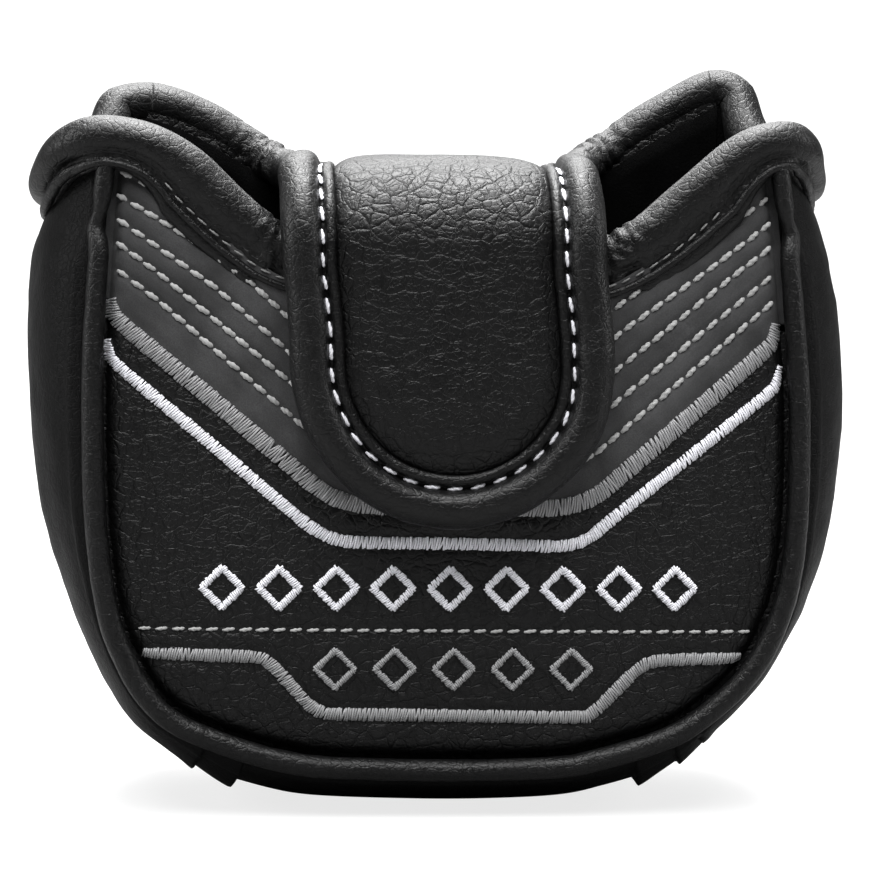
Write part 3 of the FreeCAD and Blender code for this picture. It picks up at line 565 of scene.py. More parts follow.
def tuck_shift(x, depth):
    """Rise of the gusset face and its slide along the strip at the folded tucks."""
    rise, slide = np.zeros_like(x), np.zeros_like(x)
    fade = 0.45 + 0.55 * np.clip(np.abs(depth), 0, 1) ** 1.5
    for middle, width, height, side in TUCKS:
        u = (x - middle) * side / (width / 2)
        inside = (u > -1.6) & (u < 1)
        slope = np.where(inside, (u + 1.6) / 2.6, 0) ** 1.6
        drop = np.where((u >= 1) & (u < 1.25), 1 - (u - 1) / 0.25, 0)
        body = np.maximum(slope, drop)
        rise += height * body * fade
        slide += side * 0.9 * body ** 3 * fade
    return rise, slide


def gusset_point_grid():
    """Outer face of the gusset strip: rows along the seam, columns from front to back."""
    seam = even(SEAM[SEAM[:, 1] < 86], 0.42)
    away = tangents(seam)
    normal = unit(np.stack([away[:, 1], -away[:, 0]], axis=1))
    cols = 56
    w = (1 - np.cos(np.linspace(0, math.pi, cols))) / 2 * 0.55 + np.linspace(0, 1, cols) * 0.45
    depth = 2 * w - 1
    belly = (1 - np.abs(depth) ** 2.4) ** 0.58
    ridge = 0.8 * np.exp(-((np.abs(depth) - 0.955) / 0.03) ** 2)
    y = depth * GUSSET_Y
    rise, slide = tuck_shift(np.broadcast_to(seam[:, :1], (len(seam), cols)), depth[None])
    low = (seam[:, 1] < 20)[:, None]
    rise, slide = rise * low, slide * low
    bulge = gusset_bulge(seam[:, 0], seam[:, 1])[:, None]
    reach = bulge * belly[None] + rise * (0.35 + belly[None]) + ridge[None]
    plane = seam[:, None] + normal[:, None] * reach[..., None]
    plane[..., 0] += slide
    points = np.stack([plane[..., 0], np.broadcast_to(y, reach.shape), plane[..., 1]], axis=-1)
    tops = []
    for end, sign in ((0, -1), (-1, 1)):
        rim = RIM[(np.sign(RIM[:, 0]) == sign) & (np.abs(RIM[:, 0]) > 50.0)]
        order = np.argsort(rim[:, 1])
        top = np.interp(y, rim[order, 1], rim[order, 2]) - 2.0
        middle = np.abs(np.interp(y, rim[order, 1], rim[order, 0]))
        start = points[end]
        steps = np.linspace(0, 1, 30)[:, None]
        z = start[None, :, 2] + (top - start[:, 2])[None] * steps
        ease = steps ** 1.6
        x = np.abs(start[None, :, 0]) * (1 - ease) + middle[None] * ease
        seam_x = np.abs(np.interp(z, SEAM[:40, 1][::-1], SEAM[:40, 0][::-1]))
        if sign > 0:
            seam_x = np.abs(np.interp(z, SEAM[-40:, 1], SEAM[-40:, 0]))
        edge = (1 - belly[None] ** 0.5) * np.minimum(steps * 3.0, 1.0)
        x = x * (1 - edge) + (seam_x + ridge[None]) * edge
        tops.append(np.stack([sign * x, np.broadcast_to(y, z.shape), z], axis=-1))
    grid = np.concatenate([tops[0][:0:-1], points, tops[1][1:]])
    away = unit(grid * np.array([1, 0, 0]) + 1e-9)
    upright = np.clip((grid[..., 2:] - 15) / 30, 0, 1)
    soft = bumps(grid * np.array([1, 1, 0.35]), 9.0, 3.1)[..., None] * 0.55 * upright
    grid = grid + away * soft * belly[None, :, None]
    grid = grid + away * (bumps(grid, 4.0, 7.7)[..., None] * 0.12)
    grid[..., 2] = np.where(grid[..., 2] < 0.35, 0.35 * np.exp((grid[..., 2] - 0.35) / 0.7), grid[..., 2])
    return grid, belly


def gusset_piece():
    """Gusset strip as a closed skin with wadding behind it."""
    outer, belly = gusset_point_grid()
    inward = unit((np.array([0.0, 0.0, 52.0]) - outer) * np.array([1, 0.0, 1]))
    inner = outer + inward * (1.0 + 2.4 * belly)[None, :, None]
    inner[..., 1] *= 0.93
    return shell("gusset_pad", outer, inner, PLAIN)


# ------------------------------------------------------------------ back panel


def back_piece():
    """Padded back panel, carried up behind the flap."""
    lower = even(inset_seam(0.8), 0.9)
    left = [(x, z - 2.0) for x, y, z in CORNER_LEFT if y > 18.0]
    right = [(x, z - 2.0) for x, y, z in CORNER_RIGHT if y > 18.0]
    behind_flap = [(-20.0, 98.4), (20.0, 98.4)]
    upper = even(np.array([lower[0]] + left + behind_flap + right + [lower[-1]]), 0.3)
    plane = between(lower, upper, 90)
    rise = crown(plane[..., 0], plane[..., 1], 1.7)
    outer = np.stack([plane[..., 0], FACE_Y + rise, plane[..., 1]], axis=-1)
    outer[..., 1] += 0.22 * bumps(outer, 15.0, 5.0)
    return backed("back_panel_pad", outer, BACKING_Y, PANEL)


# ------------------------------------------------------------------ piping


def piping(name, y):
    """Piping sleeve along the panel seam, pinched where it goes under the mouth binding."""
    side = -1 if y < 0 else 1
    path = np.stack([SEAM[:, 0], np.full(len(SEAM), float(y)), SEAM[:, 1]], axis=1)
    height = path[:, 2]
    kink = np.exp(-((height - 91.5) / 2.2) ** 2)
    path[:, 1] -= side * kink
    path[:, 0] += np.sign(path[:, 0]) * 0.7 * kink
    path = even(path, 0.6)
    height = path[:, 2]
    pinch = 0.45 * np.exp(-((height - 93.5) / 2.0) ** 2)
    radius = 1.75 - pinch - 0.3 * np.clip((height - 60) / 40, 0, 1)
    return tube(name, path, radius, BINDING, 16, 0.08, 2.2)


# ------------------------------------------------------------------ mouth binding

ROLL_SECTION = [
    (-3.3, 0.0), (-3.0, 1.5), (-1.9, 2.75), (-0.4, 3.3), (1.1, 3.15), (2.1, 2.4), (2.6, 1.35),
    (2.85, 0.6), (3.3, 0.55), (3.8, 0.7), (4.7, 0.7), (5.3, 0.2), (5.3, -1.0), (4.2, -2.0), (2.6, -2.7),
    (0.6, -3.25), (-1.4, -3.0), (-2.8, -1.7)]


def closed_section(points, count):
    """Smooth closed section through the points."""
    points = np.array(points, float)
    wrapped = np.vstack([points[-3:], points, points[:3]])
    curve = smooth_path(wrapped, 0.05)
    a = int(np.argmin(((curve - points[0]) ** 2).sum(axis=1)[:len(curve) // 2]))
    b = len(curve) // 2 + int(np.argmin(((curve - points[0]) ** 2).sum(axis=1)[len(curve) // 2:]))
    loop = curve[a:b + 1]
    run = lengths(loop)
    return at_lengths(loop, run, np.linspace(0, run[-1], count, endpoint=False))


def frames(path, outward):
    """Attach and outward directions along a binding, from rough outward directions."""
    ahead = tangents(path)
    out = unit(outward - ahead * (outward * ahead).sum(axis=1, keepdims=True))
    for _ in range(4):
        out[1:-1] = unit(out[:-2] + out[1:-1] * 2 + out[2:])
    return np.cross(ahead, out), out


def mouth_frames():
    """Whole binding line (flap edge, back horn, round the mouth, horn, flap edge) with its directions."""
    left, right = CORNER_LEFT[::-1], CORNER_RIGHT[::-1]
    path = np.vstack([left[:-1], RIM, right[1:]])
    for horn in (len(left) - 1, len(left) + len(RIM) - 2):
        for _ in range(40):
            near = slice(horn - 9, horn + 10)
            path[near] = (path[horn - 10:horn + 9] + 2 * path[near] + path[horn - 8:horn + 11]) / 4
    ahead = tangents(path)
    flat = unit(np.stack([ahead[:, 1], -ahead[:, 0], np.zeros(len(path))], axis=1))
    on_flap = np.zeros(len(path))
    on_flap[:len(left) - 1] = 1 - np.clip((left[:-1, 1] - 13.0) / 6.5, 0, 1)
    on_flap[-len(right) + 1:] = 1 - np.clip((right[1:, 1] - 13.0) / 6.5, 0, 1)
    outward = flat * (1 - on_flap[:, None]) + np.array([0.0, 0.0, 1.0]) * on_flap[:, None]
    attach, out = frames(path, unit(outward))
    return path, attach, out, on_flap, (len(left) - 1, len(left) + len(RIM) - 2)


def binding(path, attach, out, stretch, lift, corners):
    """Rings of a rolled binding, the line of the bead beside it and the sewn line between them."""
    section = closed_section(ROLL_SECTION, 48)
    depth = np.where(section[None, :, 0] > 0, section[None, :, 0] * stretch[:, None], section[None, :, 0])
    flange = np.clip((section[:, 0] - 2.2) / 0.6, 0, 1)
    rise = section[None, :, 1] + flange[None] * lift[:, None]
    rings = path[:, None] + depth[..., None] * attach[:, None] + rise[..., None] * out[:, None]
    middle = rings.mean(axis=1, keepdims=True)
    rings = rings + unit(rings - middle) * (bumps(rings, 8.0, 2.0) * 0.30)[..., None]
    rings = crinkle(rings, path, corners, 0.85, 5.5)
    bead = path + out * (0.70 + lift)[:, None] + attach * (3.05 * stretch + 1.15)[:, None]
    sewn = path + out * (0.80 + lift)[:, None] + attach * (3.0 * stretch)[:, None]
    return rings, bead, sewn


def crinkle(rings, path, spots, strength, spread):
    """Sharp little folds across a roll, near the given places."""
    near = np.zeros(len(path))
    for spot in spots:
        gap = np.linalg.norm(path - np.array(spot), axis=1)
        near = np.maximum(near, np.exp(-(gap / spread) ** 2))
    middle = rings.mean(axis=1, keepdims=True)
    away = unit(rings - middle)
    run = lengths(path)
    lines = np.array([noise.noise(Vector((r / 1.9, 0.3, 0.0))) for r in run])
    wander = bumps(rings, 2.6, 4.0)
    folds = np.minimum(np.abs(lines[:, None] * 1.3 + wander) * 2.2, 1.0) ** 0.8 - 1.0
    return rings + away * (folds * near[:, None] * strength)[..., None]


def tucked(ring):
    """A ring made a hair smaller, to lie just inside the next piece."""
    return ring.mean(axis=0) + (ring - ring.mean(axis=0)) * 0.99


def mouth_pieces():
    """Binding round the mouth, and its two ends that run out along the flap edges."""
    path, attach, out, on_flap, (first, last) = mouth_frames()
    front = np.clip((-path[:, 1] - 17.5) / 2.2, 0, 1)
    slope = front * np.clip((105.5 - path[:, 2]) / 6.0, 0, 1)
    stretch = 0.86 + 0.62 * slope + 0.10 * on_flap
    rings, bead, sewn = binding(path, attach, out, stretch, 1.5 * front, CRINKLES)
    made = {}
    for name, a, b in (("flap_edge_left", 0, first), ("mouth_binding", first, last),
                       ("flap_edge_right", last, len(path) - 1)):
        part = slice(a, b + 1)
        tube_rings = rings[part]
        if name == "mouth_binding":
            tube_rings = np.concatenate([tucked(rings[a - 1])[None], tube_rings,
                                         tucked(rings[b + 1])[None]])
        roll = sweep(name, tube_rings, BINDING)
        thick = 0.95 - 0.35 * front[part]
        made[name] = (roll, tube(name + "_bead", bead[part], thick, BINDING, 12, 0.12, 2.0),
                      sewn[part], out[part])
    return made


# ------------------------------------------------------------------ threads

STITCH_RINGS = 18
STITCH_SIDES = 10


def stitch_shape(length, width):
    """One visible stitch of two-ply thread, lying along its first axis."""
    points, faces = [], []
    for ring in range(STITCH_RINGS):
        s = ring / (STITCH_RINGS - 1)
        fat = max(math.sin(math.pi * s), 0.0) ** 0.36 * 0.90 + 0.10
        for side in range(STITCH_SIDES):
            turn = 2 * math.pi * side / STITCH_SIDES
            lobe = 1 + 0.17 * math.cos(2 * turn - 15.0 * s)
            r = fat * lobe
            points.append(((s - 0.5) * length, math.cos(turn) * r * width / 2,
                           math.sin(turn) * r * width * 0.42 + 0.12 * math.sin(math.pi * s)))
    return np.array(points), tube_faces(STITCH_RINGS, STITCH_SIDES)


def stitch_row(name, path, normals, pitch, length, width, mat):
    """Row of stitches along a space path with given face normals."""
    run = lengths(path)
    count = max(int(run[-1] / pitch), 1)
    at = (np.arange(count) + 0.5) * run[-1] / count
    at = at + RANDOM.uniform(-0.05, 0.05, count)
    spots = at_lengths(path, run, at)
    up = unit(at_lengths(normals, run, at))
    ahead = at_lengths(tangents(path), run, at)
    ahead = unit(ahead - up * (ahead * up).sum(axis=1, keepdims=True))
    across = np.cross(up, ahead)
    slant = RANDOM.uniform(0.04, 0.14, count)[:, None]
    along = unit(ahead + across * slant)
    across = np.cross(up, along)
    shape, faces = stitch_shape(length, width)
    size = RANDOM.uniform(0.92, 1.06, count)[:, None, None]
    return many(name, shape[None] * size, faces, spots, along, across, up, mat)


def front_stitches(name, lines, pitch, length, width, mat):
    """Stitch rows on the front face, joined into one object."""
    rows = []
    for number, line in enumerate(lines):
        flat = even(line, 0.5)
        path = on_front(flat, 0.10)
        normals = np.tile([0.0, -1.0, 0.0], (len(path), 1))
        rows.append(stitch_row("%s_%d" % (name, number), path, normals, pitch, length, width, mat))
    return join(name, rows)


def join(name, items):
    """Joins mesh objects that share one material."""
    points, faces, base = [], [], 0
    for item in items:
        count = len(item.data.vertices)
        spots = np.empty(count * 3)
        item.data.vertices.foreach_get("co", spots)
        points.append(spots.reshape(-1, 3) * 1000)
        faces += [tuple(v + base for v in face.vertices) for face in item.data.polygons]
        base += count
    whole = mesh(name, np.concatenate(points), faces, items[0].data.materials[0])
    for item in items:
        bpy.data.objects.remove(item)
    return whole


def satin(name, lines, width, lift, mat, pitch=0.30, taper=0.0):
    """Bands of satin embroidery: fine threads laid side by side across each line."""
    spots, cross, ahead, widths = [], [], [], []
    for line in lines:
        path = even(line, pitch)
        forward = tangents(path)
        for _ in range(5):
            forward[1:-1] = unit(forward[:-2] + forward[1:-1] + forward[2:])
        spots.append(path)
        ahead.append(forward)
        cross.append(np.stack([-forward[:, 1], forward[:, 0]], axis=1))
        share = np.linspace(0, 1, len(path))
        widths.append(width * (1 - taper * np.exp(-np.minimum(share, 1 - share) * len(path) / 6)))
    spots, cross, ahead = np.concatenate(spots), np.concatenate(cross), np.concatenate(ahead)
    widths = np.concatenate(widths) + RANDOM.uniform(-0.20, 0.20, len(spots))
    slant = RANDOM.normal(0, 0.10, len(spots))[:, None]
    cross = unit(cross + ahead * (0.18 + slant))
    steps, sides = 9, 5
    t = np.linspace(-1, 1, steps)
    turn = np.linspace(0, 2 * math.pi, sides, endpoint=False)
    middle = spots[:, None] + cross[:, None] * (t[None, :, None] * widths[:, None, None] / 2)
    arch = lift * (1 - np.abs(t) ** 2.6) + RANDOM.uniform(-0.07, 0.07, (len(spots), 1))
    base = on_front(middle)
    radius = pitch * 0.50
    offset_ahead = np.cos(turn) * radius
    offset_out = np.sin(turn) * radius * 1.1
    points = np.repeat(base[:, :, None], sides, axis=2)
    points[..., 0] += ahead[:, None, None, 0] * offset_ahead
    points[..., 2] += ahead[:, None, None, 1] * offset_ahead
    points[..., 1] -= arch[:, :, None] + offset_out - 0.02
    return mesh(name, points, copies(tube_faces(steps, sides), steps * sides, len(spots)), mat)


def lozenges(count, step, middle, height, wide, tall):
    """Outlines of a row of open lozenges as closed lines."""
    shapes = []
    for k in range(count):
        x = middle + (k - (count - 1) / 2) * step
        shapes.append([(x - wide, height), (x, height + tall), (x + wide, height), (x, height - tall),
                       (x - wide, height)])
    return shapes


def sides_of(shapes):
    """Each straight side of the closed lines."""
    return [[a, b] for shape in shapes for a, b in zip(shape, shape[1:])]


# ------------------------------------------------------------------ flap

FLAP_HALF = 24.4
TIP_LONG = 24.3
# Radii and centres (y, z) of the flap's bend over the back wall and of its fold over the front.
BACK_TURN = 3.4
BACK_CENTRE = (16.5, 96.8)
FOLD_TURN = 11.2
FOLD_CENTRE = (-16.7, 89.0)


def flap_path():
    """Middle line of the flap as (length, y, z), from the back wall over the mouth to the tip."""
    back_y, back_z = BACK_CENTRE
    fold_y, fold_z = FOLD_CENTRE
    wall = [(back_y + BACK_TURN, z) for z in np.linspace(78.0, back_z, 30)]
    back = [(back_y + BACK_TURN * math.cos(a), back_z + BACK_TURN * math.sin(a))
            for a in np.linspace(0, math.pi / 2, 16)[1:]]
    top = [(y, back_z + BACK_TURN + 0.25 * math.sin((back_y - y) / (back_y - fold_y) * math.pi))
           for y in np.linspace(back_y, fold_y, 70)[1:]]
    fold = [(fold_y - FOLD_TURN * math.sin(a), fold_z + FOLD_TURN * math.cos(a))
            for a in np.linspace(0, math.pi / 2, 36)[1:]]
    front = [(fold_y - FOLD_TURN, z) for z in np.linspace(fold_z, 40.0, 70)[1:]]
    line = np.array(wall + back + top + fold + front)
    run = lengths(line)
    corner = run[len(wall) - 1 + 8]
    return run - corner, line


FLAP_RUN, FLAP_LINE = flap_path()
FLAP_AHEAD = tangents(FLAP_LINE)
FLAP_END = float(np.interp(-46.7, -FLAP_LINE[-60:, 1], FLAP_RUN[-60:]))
MIDWAY = float(np.interp(2.0, -FLAP_LINE[60:80, 0], FLAP_RUN[60:80]))


def flap_space(a, l, h):
    """Space points for flap places: a across, l along, h above the middle surface."""
    y = np.interp(l, FLAP_RUN, FLAP_LINE[:, 0])
    z = np.interp(l, FLAP_RUN, FLAP_LINE[:, 1])
    ty = np.interp(l, FLAP_RUN, FLAP_AHEAD[:, 0])
    tz = np.interp(l, FLAP_RUN, FLAP_AHEAD[:, 1])
    size = np.hypot(ty, tz)
    sway = np.interp(l, [0, 20, 40, 56, 66, 80, 98], [1.0, -0.9, -2.0, -1.6, -0.4, 0.2, 0.0])
    return np.stack([a + sway, y + h * tz / size, z - h * ty / size], axis=-1)


def flap_outline(start):
    """Edge of the flap as (a, l) from the left side round the tip to the right side."""
    straight = FLAP_END - TIP_LONG
    left = [(-FLAP_HALF, l) for l in np.linspace(start, straight, 12)]
    tip = [(-FLAP_HALF * math.cos(t), straight + TIP_LONG * math.sin(t))
           for t in np.linspace(0, math.pi, 80)[1:-1]]
    right = [(FLAP_HALF, l) for l in np.linspace(straight, start, 12)]
    return even(np.array(left + tip + right), 0.5)


def inset_line(outline, inward_by):
    """Line inside the flap edge at a fixed distance."""
    ahead = tangents(outline)
    inward = np.stack([ahead[:, 1], -ahead[:, 0]], axis=1)
    centre = np.array([0.0, FLAP_END - TIP_LONG])
    if ((centre - outline[0]) * inward[0]).sum() < 0:
        inward = -inward
    return outline + inward * inward_by


def panel_height(d):
    """Height of the crowned centre panel, d inside its sewn edge."""
    return 0.7 + 1.7 * (1 - np.exp(-d / 1.9)) + 0.75 * (1 - np.exp(-d / 9.0))


def flap_stitches(side, sewn, out):
    """White stitches between the edge roll and the bead of one part of the flap."""
    return stitch_row("flap_stitches_" + side, sewn, out, 3.5, 2.4, 0.66, WHITE_SATIN)


def flap_rolls(mouth):
    """Edge rolls, beads and stitches of the flap, on its bridge and on its tongue."""
    line = inset_line(flap_outline(MIDWAY), 3.0)
    path = flap_space(line[:, 0], line[:, 1], np.zeros(len(line)))
    above = flap_space(line[:, 0], line[:, 1], np.ones(len(line)))
    attach, out = frames(path, unit(above - path))
    near = flap_space(line[:, 0] * 0.9, line[:, 1], np.zeros(len(line)))
    attach = attach * np.sign(((near - path) * attach).sum())
    rings, bead, sewn = binding(path, attach, out, np.full(len(path), 0.96), np.zeros(len(path)), [])
    stitches = flap_stitches("tip", sewn, out)
    tongue = [sweep("flap_edge_tip", rings, BINDING),
              tube("flap_edge_tip_bead", even(bead, 0.6), 0.95, BINDING, 12, 0.12, 2.0), stitches]
    bridge = []
    for side in ("left", "right"):
        roll, bead, sewn, out = mouth["flap_edge_" + side]
        inner = sewn[:, 1] < 20.4
        bridge += [roll, bead, flap_stitches(side, sewn[inner], out[inner])]
    return bridge, tongue


def flap_panels():
    """Centre panel, its lining and the root stitches, cut where one hinge hands over to the next."""
    inset = 7.9
    half = FLAP_HALF - inset
    tip_long = TIP_LONG - inset
    straight = FLAP_END - TIP_LONG
    base = -13.0
    cut = 69
    side = np.concatenate([np.linspace(base, MIDWAY, cut + 1)[:-1], np.linspace(MIDWAY, straight, 110)])
    turn = np.linspace(0, math.pi / 2, 46)[1:]
    edge = np.concatenate([np.stack([np.full(len(side), half), side], axis=1),
                           np.stack([half * np.cos(turn), straight + tip_long * np.sin(turn)], axis=1)])
    spine = np.stack([np.zeros(len(edge)), np.minimum(edge[:, 1], straight)], axis=1)
    part = np.linspace(0, 1, 26)
    right_half = edge[:, None] * (1 - part[None, :, None]) + spine[:, None] * part[None, :, None]
    inside = np.linalg.norm(edge - spine, axis=1)[:, None] * part[None]
    left_half = right_half * np.array([-1.0, 1.0])
    place = np.concatenate([left_half, right_half[:, ::-1][:, 1:]], axis=1)
    depth = np.concatenate([inside, inside[:, ::-1][:, 1:]], axis=1)
    height = panel_height(depth)
    root = np.clip((3.0 - place[..., 1]) / 3.0, 0, 1)
    end = 1 - np.exp(-(np.minimum(depth, place[..., 1] - base) / 0.7) ** 2)
    height = height * (1 - root) + (2.2 + 1.2 * end) * root
    outer = flap_space(place[..., 0], place[..., 1], height)
    wave = bumps(outer, 10.0, 6.0) * 0.22
    outer = flap_space(place[..., 0], place[..., 1], height + wave)
    inner = flap_space(place[..., 0], place[..., 1], np.minimum(height - 1.3, 0.4))
    across = place[..., 0] * (FLAP_HALF - 3.5) / half
    under = flap_space(across, place[..., 1], -2.3 - 0.5 * (1 - np.exp(-depth / 3.0)))
    over = flap_space(across, place[..., 1], np.full(height.shape, -1.2))
    hem_x, hem_low = half - 1.6, base + 1.8
    hem = even([(-hem_x, -0.5), (-hem_x, hem_low), (hem_x, hem_low), (hem_x, -0.5)], 0.5)
    root_path = flap_space(hem[:, 0], hem[:, 1], np.full(len(hem), 3.42))
    above = flap_space(hem[:, 0], hem[:, 1], np.full(len(hem), 4.42))
    bridge = [stitch_row("flap_root_stitches", root_path, above - root_path, 3.0, 2.2, 0.6, GREY_THREAD),
              shell("flap_top_back", outer[:cut + 1], inner[:cut + 1], PEBBLED)]
    # The front sheet starts one row early, a hair below the back one, so that its shading runs on.
    outer[cut - 1, :, 2] -= 0.04
    tongue = [shell("flap_top_front", outer[cut - 1:], inner[cut - 1:], PEBBLED)]
    lined = slice(int(np.argmax(side > 1.5)), cut + 1)
    bridge.append(shell("flap_lining_back", under[lined], over[lined], PLUSH))
    tongue.append(shell("flap_lining_front", under[cut:], over[cut:], PLUSH))
    return bridge, tongue


# ------------------------------------------------------------------ lining bag


def lining_piece():
    """Plush bag inside the pouch, hung from the mouth binding."""
    path, down, out, _, (first, last) = mouth_frames()
    top = (path - out * 2.2 + down * 3.0)[first:last + 1:2]
    back = np.vstack([corner[corner[:, 1] > 17.5][::-1] for corner in (CORNER_RIGHT, CORNER_LEFT)])
    gap = even(np.vstack([top[-1:], back - np.array([0, 0, 3.4]), top[:1]]), 1.1)[1:-1]
    gap[:, 2] = np.where(np.abs(gap[:, 0]) < 24, 96.4, gap[:, 2])
    ring = np.vstack([top, gap])
    ring[:, 1] = np.clip(ring[:, 1], -17.0, 17.0)

    def half_width(z):
        return np.interp(z, [5.5, 8, 12, 18, 26, 36, 50, 66, 110],
                         [30, 38, 45, 50, 54, 56, 57.5, 58.5, 59.0])

    rows = []
    for share in np.linspace(0, 1, 46) ** 0.9:
        z = ring[:, 2] + (7.2 - ring[:, 2]) * share
        x = ring[:, 0] * half_width(z) / half_width(ring[:, 2])
        narrow = np.interp(z, [7.2, 12, 25], [0.80, 0.95, 1.0])
        rows.append(np.stack([x, ring[:, 1] * narrow, z], axis=1))
    last = rows[-1]
    for share in (0.6, 0.2, 0.0):
        rows.append(last * np.array([1.0, share, 1.0]) - np.array([0, 0, 0.2]))
    inner = np.array(rows)
    inner = inner + bumps(inner, 8.0, 9.0)[..., None] * np.array([0.35, 0.35, 0.0])
    inner[..., 1] = np.clip(inner[..., 1], -16.7, 16.7)
    centre = np.array([0.0, 0.0, 60.0])
    outward = unit((inner - centre) * np.array([0.35, 1.0, 0.15]))
    outer = inner + outward * 0.7
    return shell("lining_bag", outer, inner, PLUSH, wrap=True)


# ------------------------------------------------------------------ build everything

panel, yoke = front_pieces()
gusset = gusset_piece()
back = back_piece()
front_piping = piping("front_piping_sleeve", -PIPING_Y)
back_piping = piping("back_piping_sleeve", PIPING_Y)
bindings = mouth_pieces()
mouth, bead, sewn, rim_out = bindings["mouth_binding"]
front_part = (sewn[:, 1] < -19.5) & (np.abs(sewn[:, 0] + 1.5) < 43)
rim_stitches = stitch_row("mouth_stitches", sewn[front_part], rim_out[front_part], 2.4, 1.7, 0.30,
                          DARK_THREAD)
lining = lining_piece()
yoke_stitches = front_stitches("yoke_stitches", QUILT_LEFT + QUILT_RIGHT, 2.56, 2.40, 0.80, GREY_THREAD)
level_stitches = front_stitches("level_stitches", [LEVEL_LINE], 2.54, 2.05, 0.55, GREY_THREAD)
yoke_band = satin("yoke_band", [YOKE_LINE], 2.7, 0.55, GREY_SATIN, 0.40, 0.3)
white_band = satin("white_band", [WHITE_LINE], 1.9, 0.5, WHITE_SATIN, 0.37, 0.3)
low_band = satin("low_band", [LOW_LINE], 2.0, 0.45, GREY_SATIN, 0.37, 0.3)
white_row = sides_of(lozenges(9, 8.8, 0.3, 36.4, 3.1, 3.1))
grey_row = sides_of(lozenges(5, 9.2, 1.1, 23.7, 3.0, 3.0))
white_motif = satin("white_motif", white_row, 1.15, 0.4, WHITE_SATIN, 0.33)
grey_motif = satin("grey_motif", grey_row, 0.95, 0.35, GREY_SATIN, 0.33)
bridge_rolls, tongue_rolls = flap_rolls(bindings)
bridge_panels, tongue_panels = flap_panels()

for item in (panel, yoke, gusset, back, front_piping, back_piping, mouth, bead, rim_stitches, lining,
             yoke_stitches, level_stitches, yoke_band, white_band, low_band, white_motif, grey_motif):
    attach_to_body(item, "pouch")
for item in bridge_rolls + bridge_panels:
    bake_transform(item)
for item in tongue_rolls + tongue_panels:
    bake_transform(item)

# ------------------------------------------------------------------ what each piece stands for


def find(name):
    """Blender object of that name."""
    return bpy.data.objects[name]


REPLACED = {
    "front_panel_pad": ["front_panel", "front_foam"],
    "front_yoke_pad": ["front_yoke"],
    "gusset_pad": ["gusset", "gusset_foam_left", "gusset_foam_right", "gusset_foam_bottom"],
    "back_panel_pad": ["back_panel", "back_foam"],
    "front_piping_sleeve": ["front_piping", "front_piping_cord"],
    "back_piping_sleeve": ["back_piping", "back_piping_cord"],
    "mouth_binding": ["rim_%s_%s" % (kind, place) for kind in ("binding", "roll")
                      for place in ("front", "left", "right", "back_left", "back_right")],
    "mouth_binding_bead": ["rim_facing_front"],
    "lining_bag": ["front_lining", "back_lining", "gusset_lining"],
    "yoke_stitches": ["stitches_yoke_left", "stitches_yoke_right"],
    "level_stitches": ["stitches_level"],
    "yoke_band": ["band_yoke"],
    "white_band": ["band_white"],
    "low_band": ["band_low"],
    "white_motif": ["lozenges_white"],
    "grey_motif": ["lozenges_grey"],
    "flap_top_back": ["flap_bridge_skin", "flap_bridge_foam"],
    "flap_top_front": ["flap_tongue_skin", "flap_tongue_foam"],
    "flap_lining_back": ["flap_bridge_lining"],
    "flap_lining_front": ["flap_tongue_lining"],
    "flap_edge_left": ["flap_bridge_binding", "flap_bridge_roll"],
    "flap_edge_tip": ["flap_tongue_binding", "flap_tongue_roll"],
    "flap_stitches_tip": ["flap_stitching"],
}
for name, nodes in REPLACED.items():
    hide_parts(*nodes)


for node in ("front_magnet", "flap_magnet"):
    data = find(node).data
    data.materials.clear()
    data.materials.append(STEEL)

# ------------------------------------------------------------------ floor, light and camera


def floor():
    """Pale floor that curves up behind. It glows for the camera only, so the cover stays dark."""
    profile = [(-900, 0), (500, 0)]
    profile += [(500 + 300 * math.sin(a), 300 - 300 * math.cos(a))
                for a in np.linspace(0, math.pi / 2, 20)[1:]]
    profile += [(800, 1400)]
    points = [(x, y, z) for y, z in profile for x in (-1400.0, 1400.0)]
    faces = [(2 * k, 2 * k + 1, 2 * k + 3, 2 * k + 2) for k in range(len(profile) - 1)]

    def build(add, link, shader):
        place = add("ShaderNodeTexCoord")
        tone = add("ShaderNodeTexNoise", Scale=6.0)
        link(place, "Object", tone, "Vector")
        colour = add("ShaderNodeMix", data_type="RGBA")
        colour.inputs["A"].default_value = (0.16, 0.16, 0.16, 1)
        colour.inputs["B"].default_value = (0.18, 0.18, 0.18, 1)
        link(tone, "Fac", colour, "Factor")
        link(colour, "Result", shader, "Base Color")
        shader.inputs["Roughness"].default_value = 0.9
        shader.inputs["Specular IOR Level"].default_value = 0.1
        shader.inputs["Emission Color"].default_value = (1, 1, 1, 1)
        rays = add("ShaderNodeLightPath")
        glow = add("ShaderNodeMath", operation="MULTIPLY")
        glow.inputs[1].default_value = 0.78
        link(rays, "Is Camera Ray", glow, 0)
        link(glow, "Value", shader, "Emission Strength")
    mesh("floor", points, faces, material("floor_paint", build))


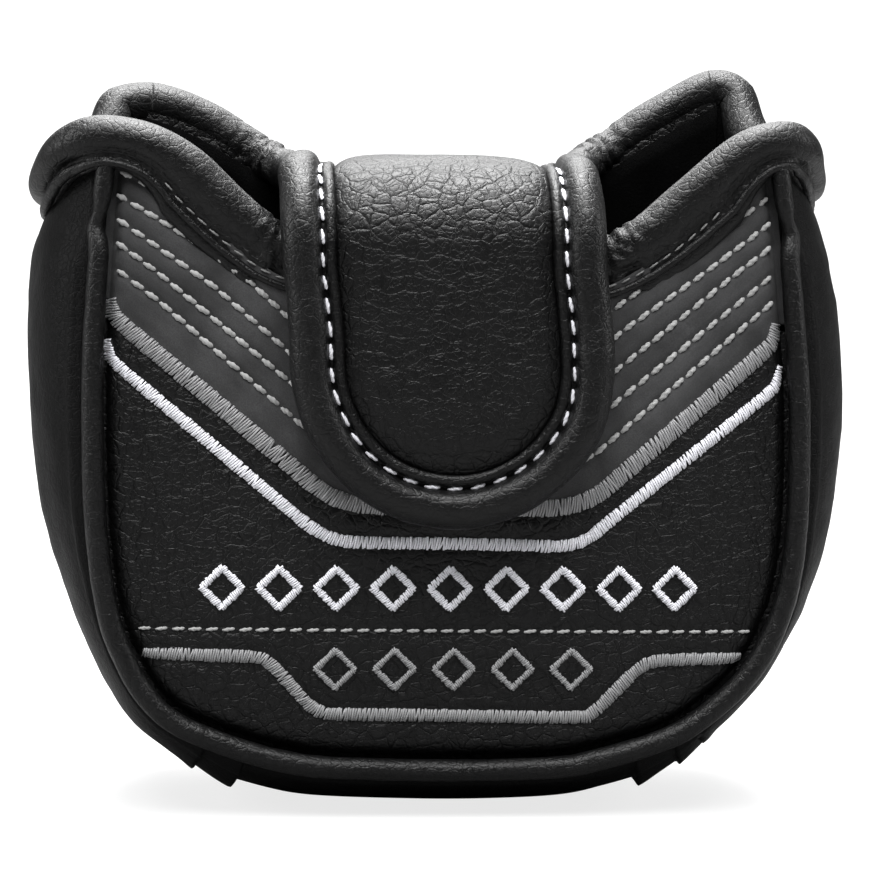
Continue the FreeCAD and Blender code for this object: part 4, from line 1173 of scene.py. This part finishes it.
def sky():
    """White sky, bright to the camera and dim to the cover."""
    world = bpy.data.worlds.new("sky")
    world.use_nodes = True
    tree = world.node_tree
    sky = tree.nodes["Background"]
    sky.inputs["Color"].default_value = (1, 1, 1, 1)
    rays = tree.nodes.new("ShaderNodeLightPath")
    bright = tree.nodes.new("ShaderNodeMapRange")
    bright.inputs["To Min"].default_value = 0.03
    bright.inputs["To Max"].default_value = 1.0
    tree.links.new(rays.outputs["Is Camera Ray"], bright.inputs["Value"])
    tree.links.new(bright.outputs["Result"], sky.inputs["Strength"])
    SCENE.world = world


# Soft lamps as (name, place, size, power); each points at the middle of the cover.
LAMPS = [("key", (-0.05, -0.45, 0.85), (0.80, 0.40), 14.0), ("top", (0.0, 0.12, 0.85), (0.60, 0.45), 31.0),
         ("back", (0.0, 0.46, 0.50), (0.60, 0.30), 4.0), ("left", (-0.80, -0.10, 0.38), (0.20, 0.5), 4.5),
         ("right", (0.80, -0.10, 0.38), (0.20, 0.5), 3.0)]
COVER_MIDDLE = Vector((0, 0, 0.06))


def lamps():
    """Five soft lamps above, behind and at the sides."""
    for name, place, size, power in LAMPS:
        data = bpy.data.lights.new(name, "AREA")
        data.shape = "RECTANGLE"
        data.size, data.size_y = size
        data.energy = power
        item = bpy.data.objects.new(name, data)
        item.location = place
        item.rotation_euler = (COVER_MIDDLE - Vector(place)).to_track_quat("-Z", "Y").to_euler()
        SCENE.collection.objects.link(item)


def camera():
    """Camera in front, a little to the left and a little above."""
    data = bpy.data.cameras.new("camera")
    data.sensor_width = 36.0
    data.lens = 121.1
    item = bpy.data.objects.new("camera", data)
    target = Vector((-0.0024, -0.023, 0.0603))
    azimuth, elevation, distance = math.radians(-4.5), math.radians(5.0), 0.45
    level = math.cos(elevation)
    towards = Vector((math.sin(azimuth) * level, -math.cos(azimuth) * level, math.sin(elevation)))
    item.location = target + distance * towards
    aim = (target - item.location).to_track_quat("-Z", "Y")
    item.rotation_euler = (aim @ Quaternion((0, 0, 1), math.radians(0.8))).to_euler()
    SCENE.collection.objects.link(item)
    SCENE.camera = item


floor()
sky()
lamps()
camera()
SCENE.view_settings.view_transform = "Standard"
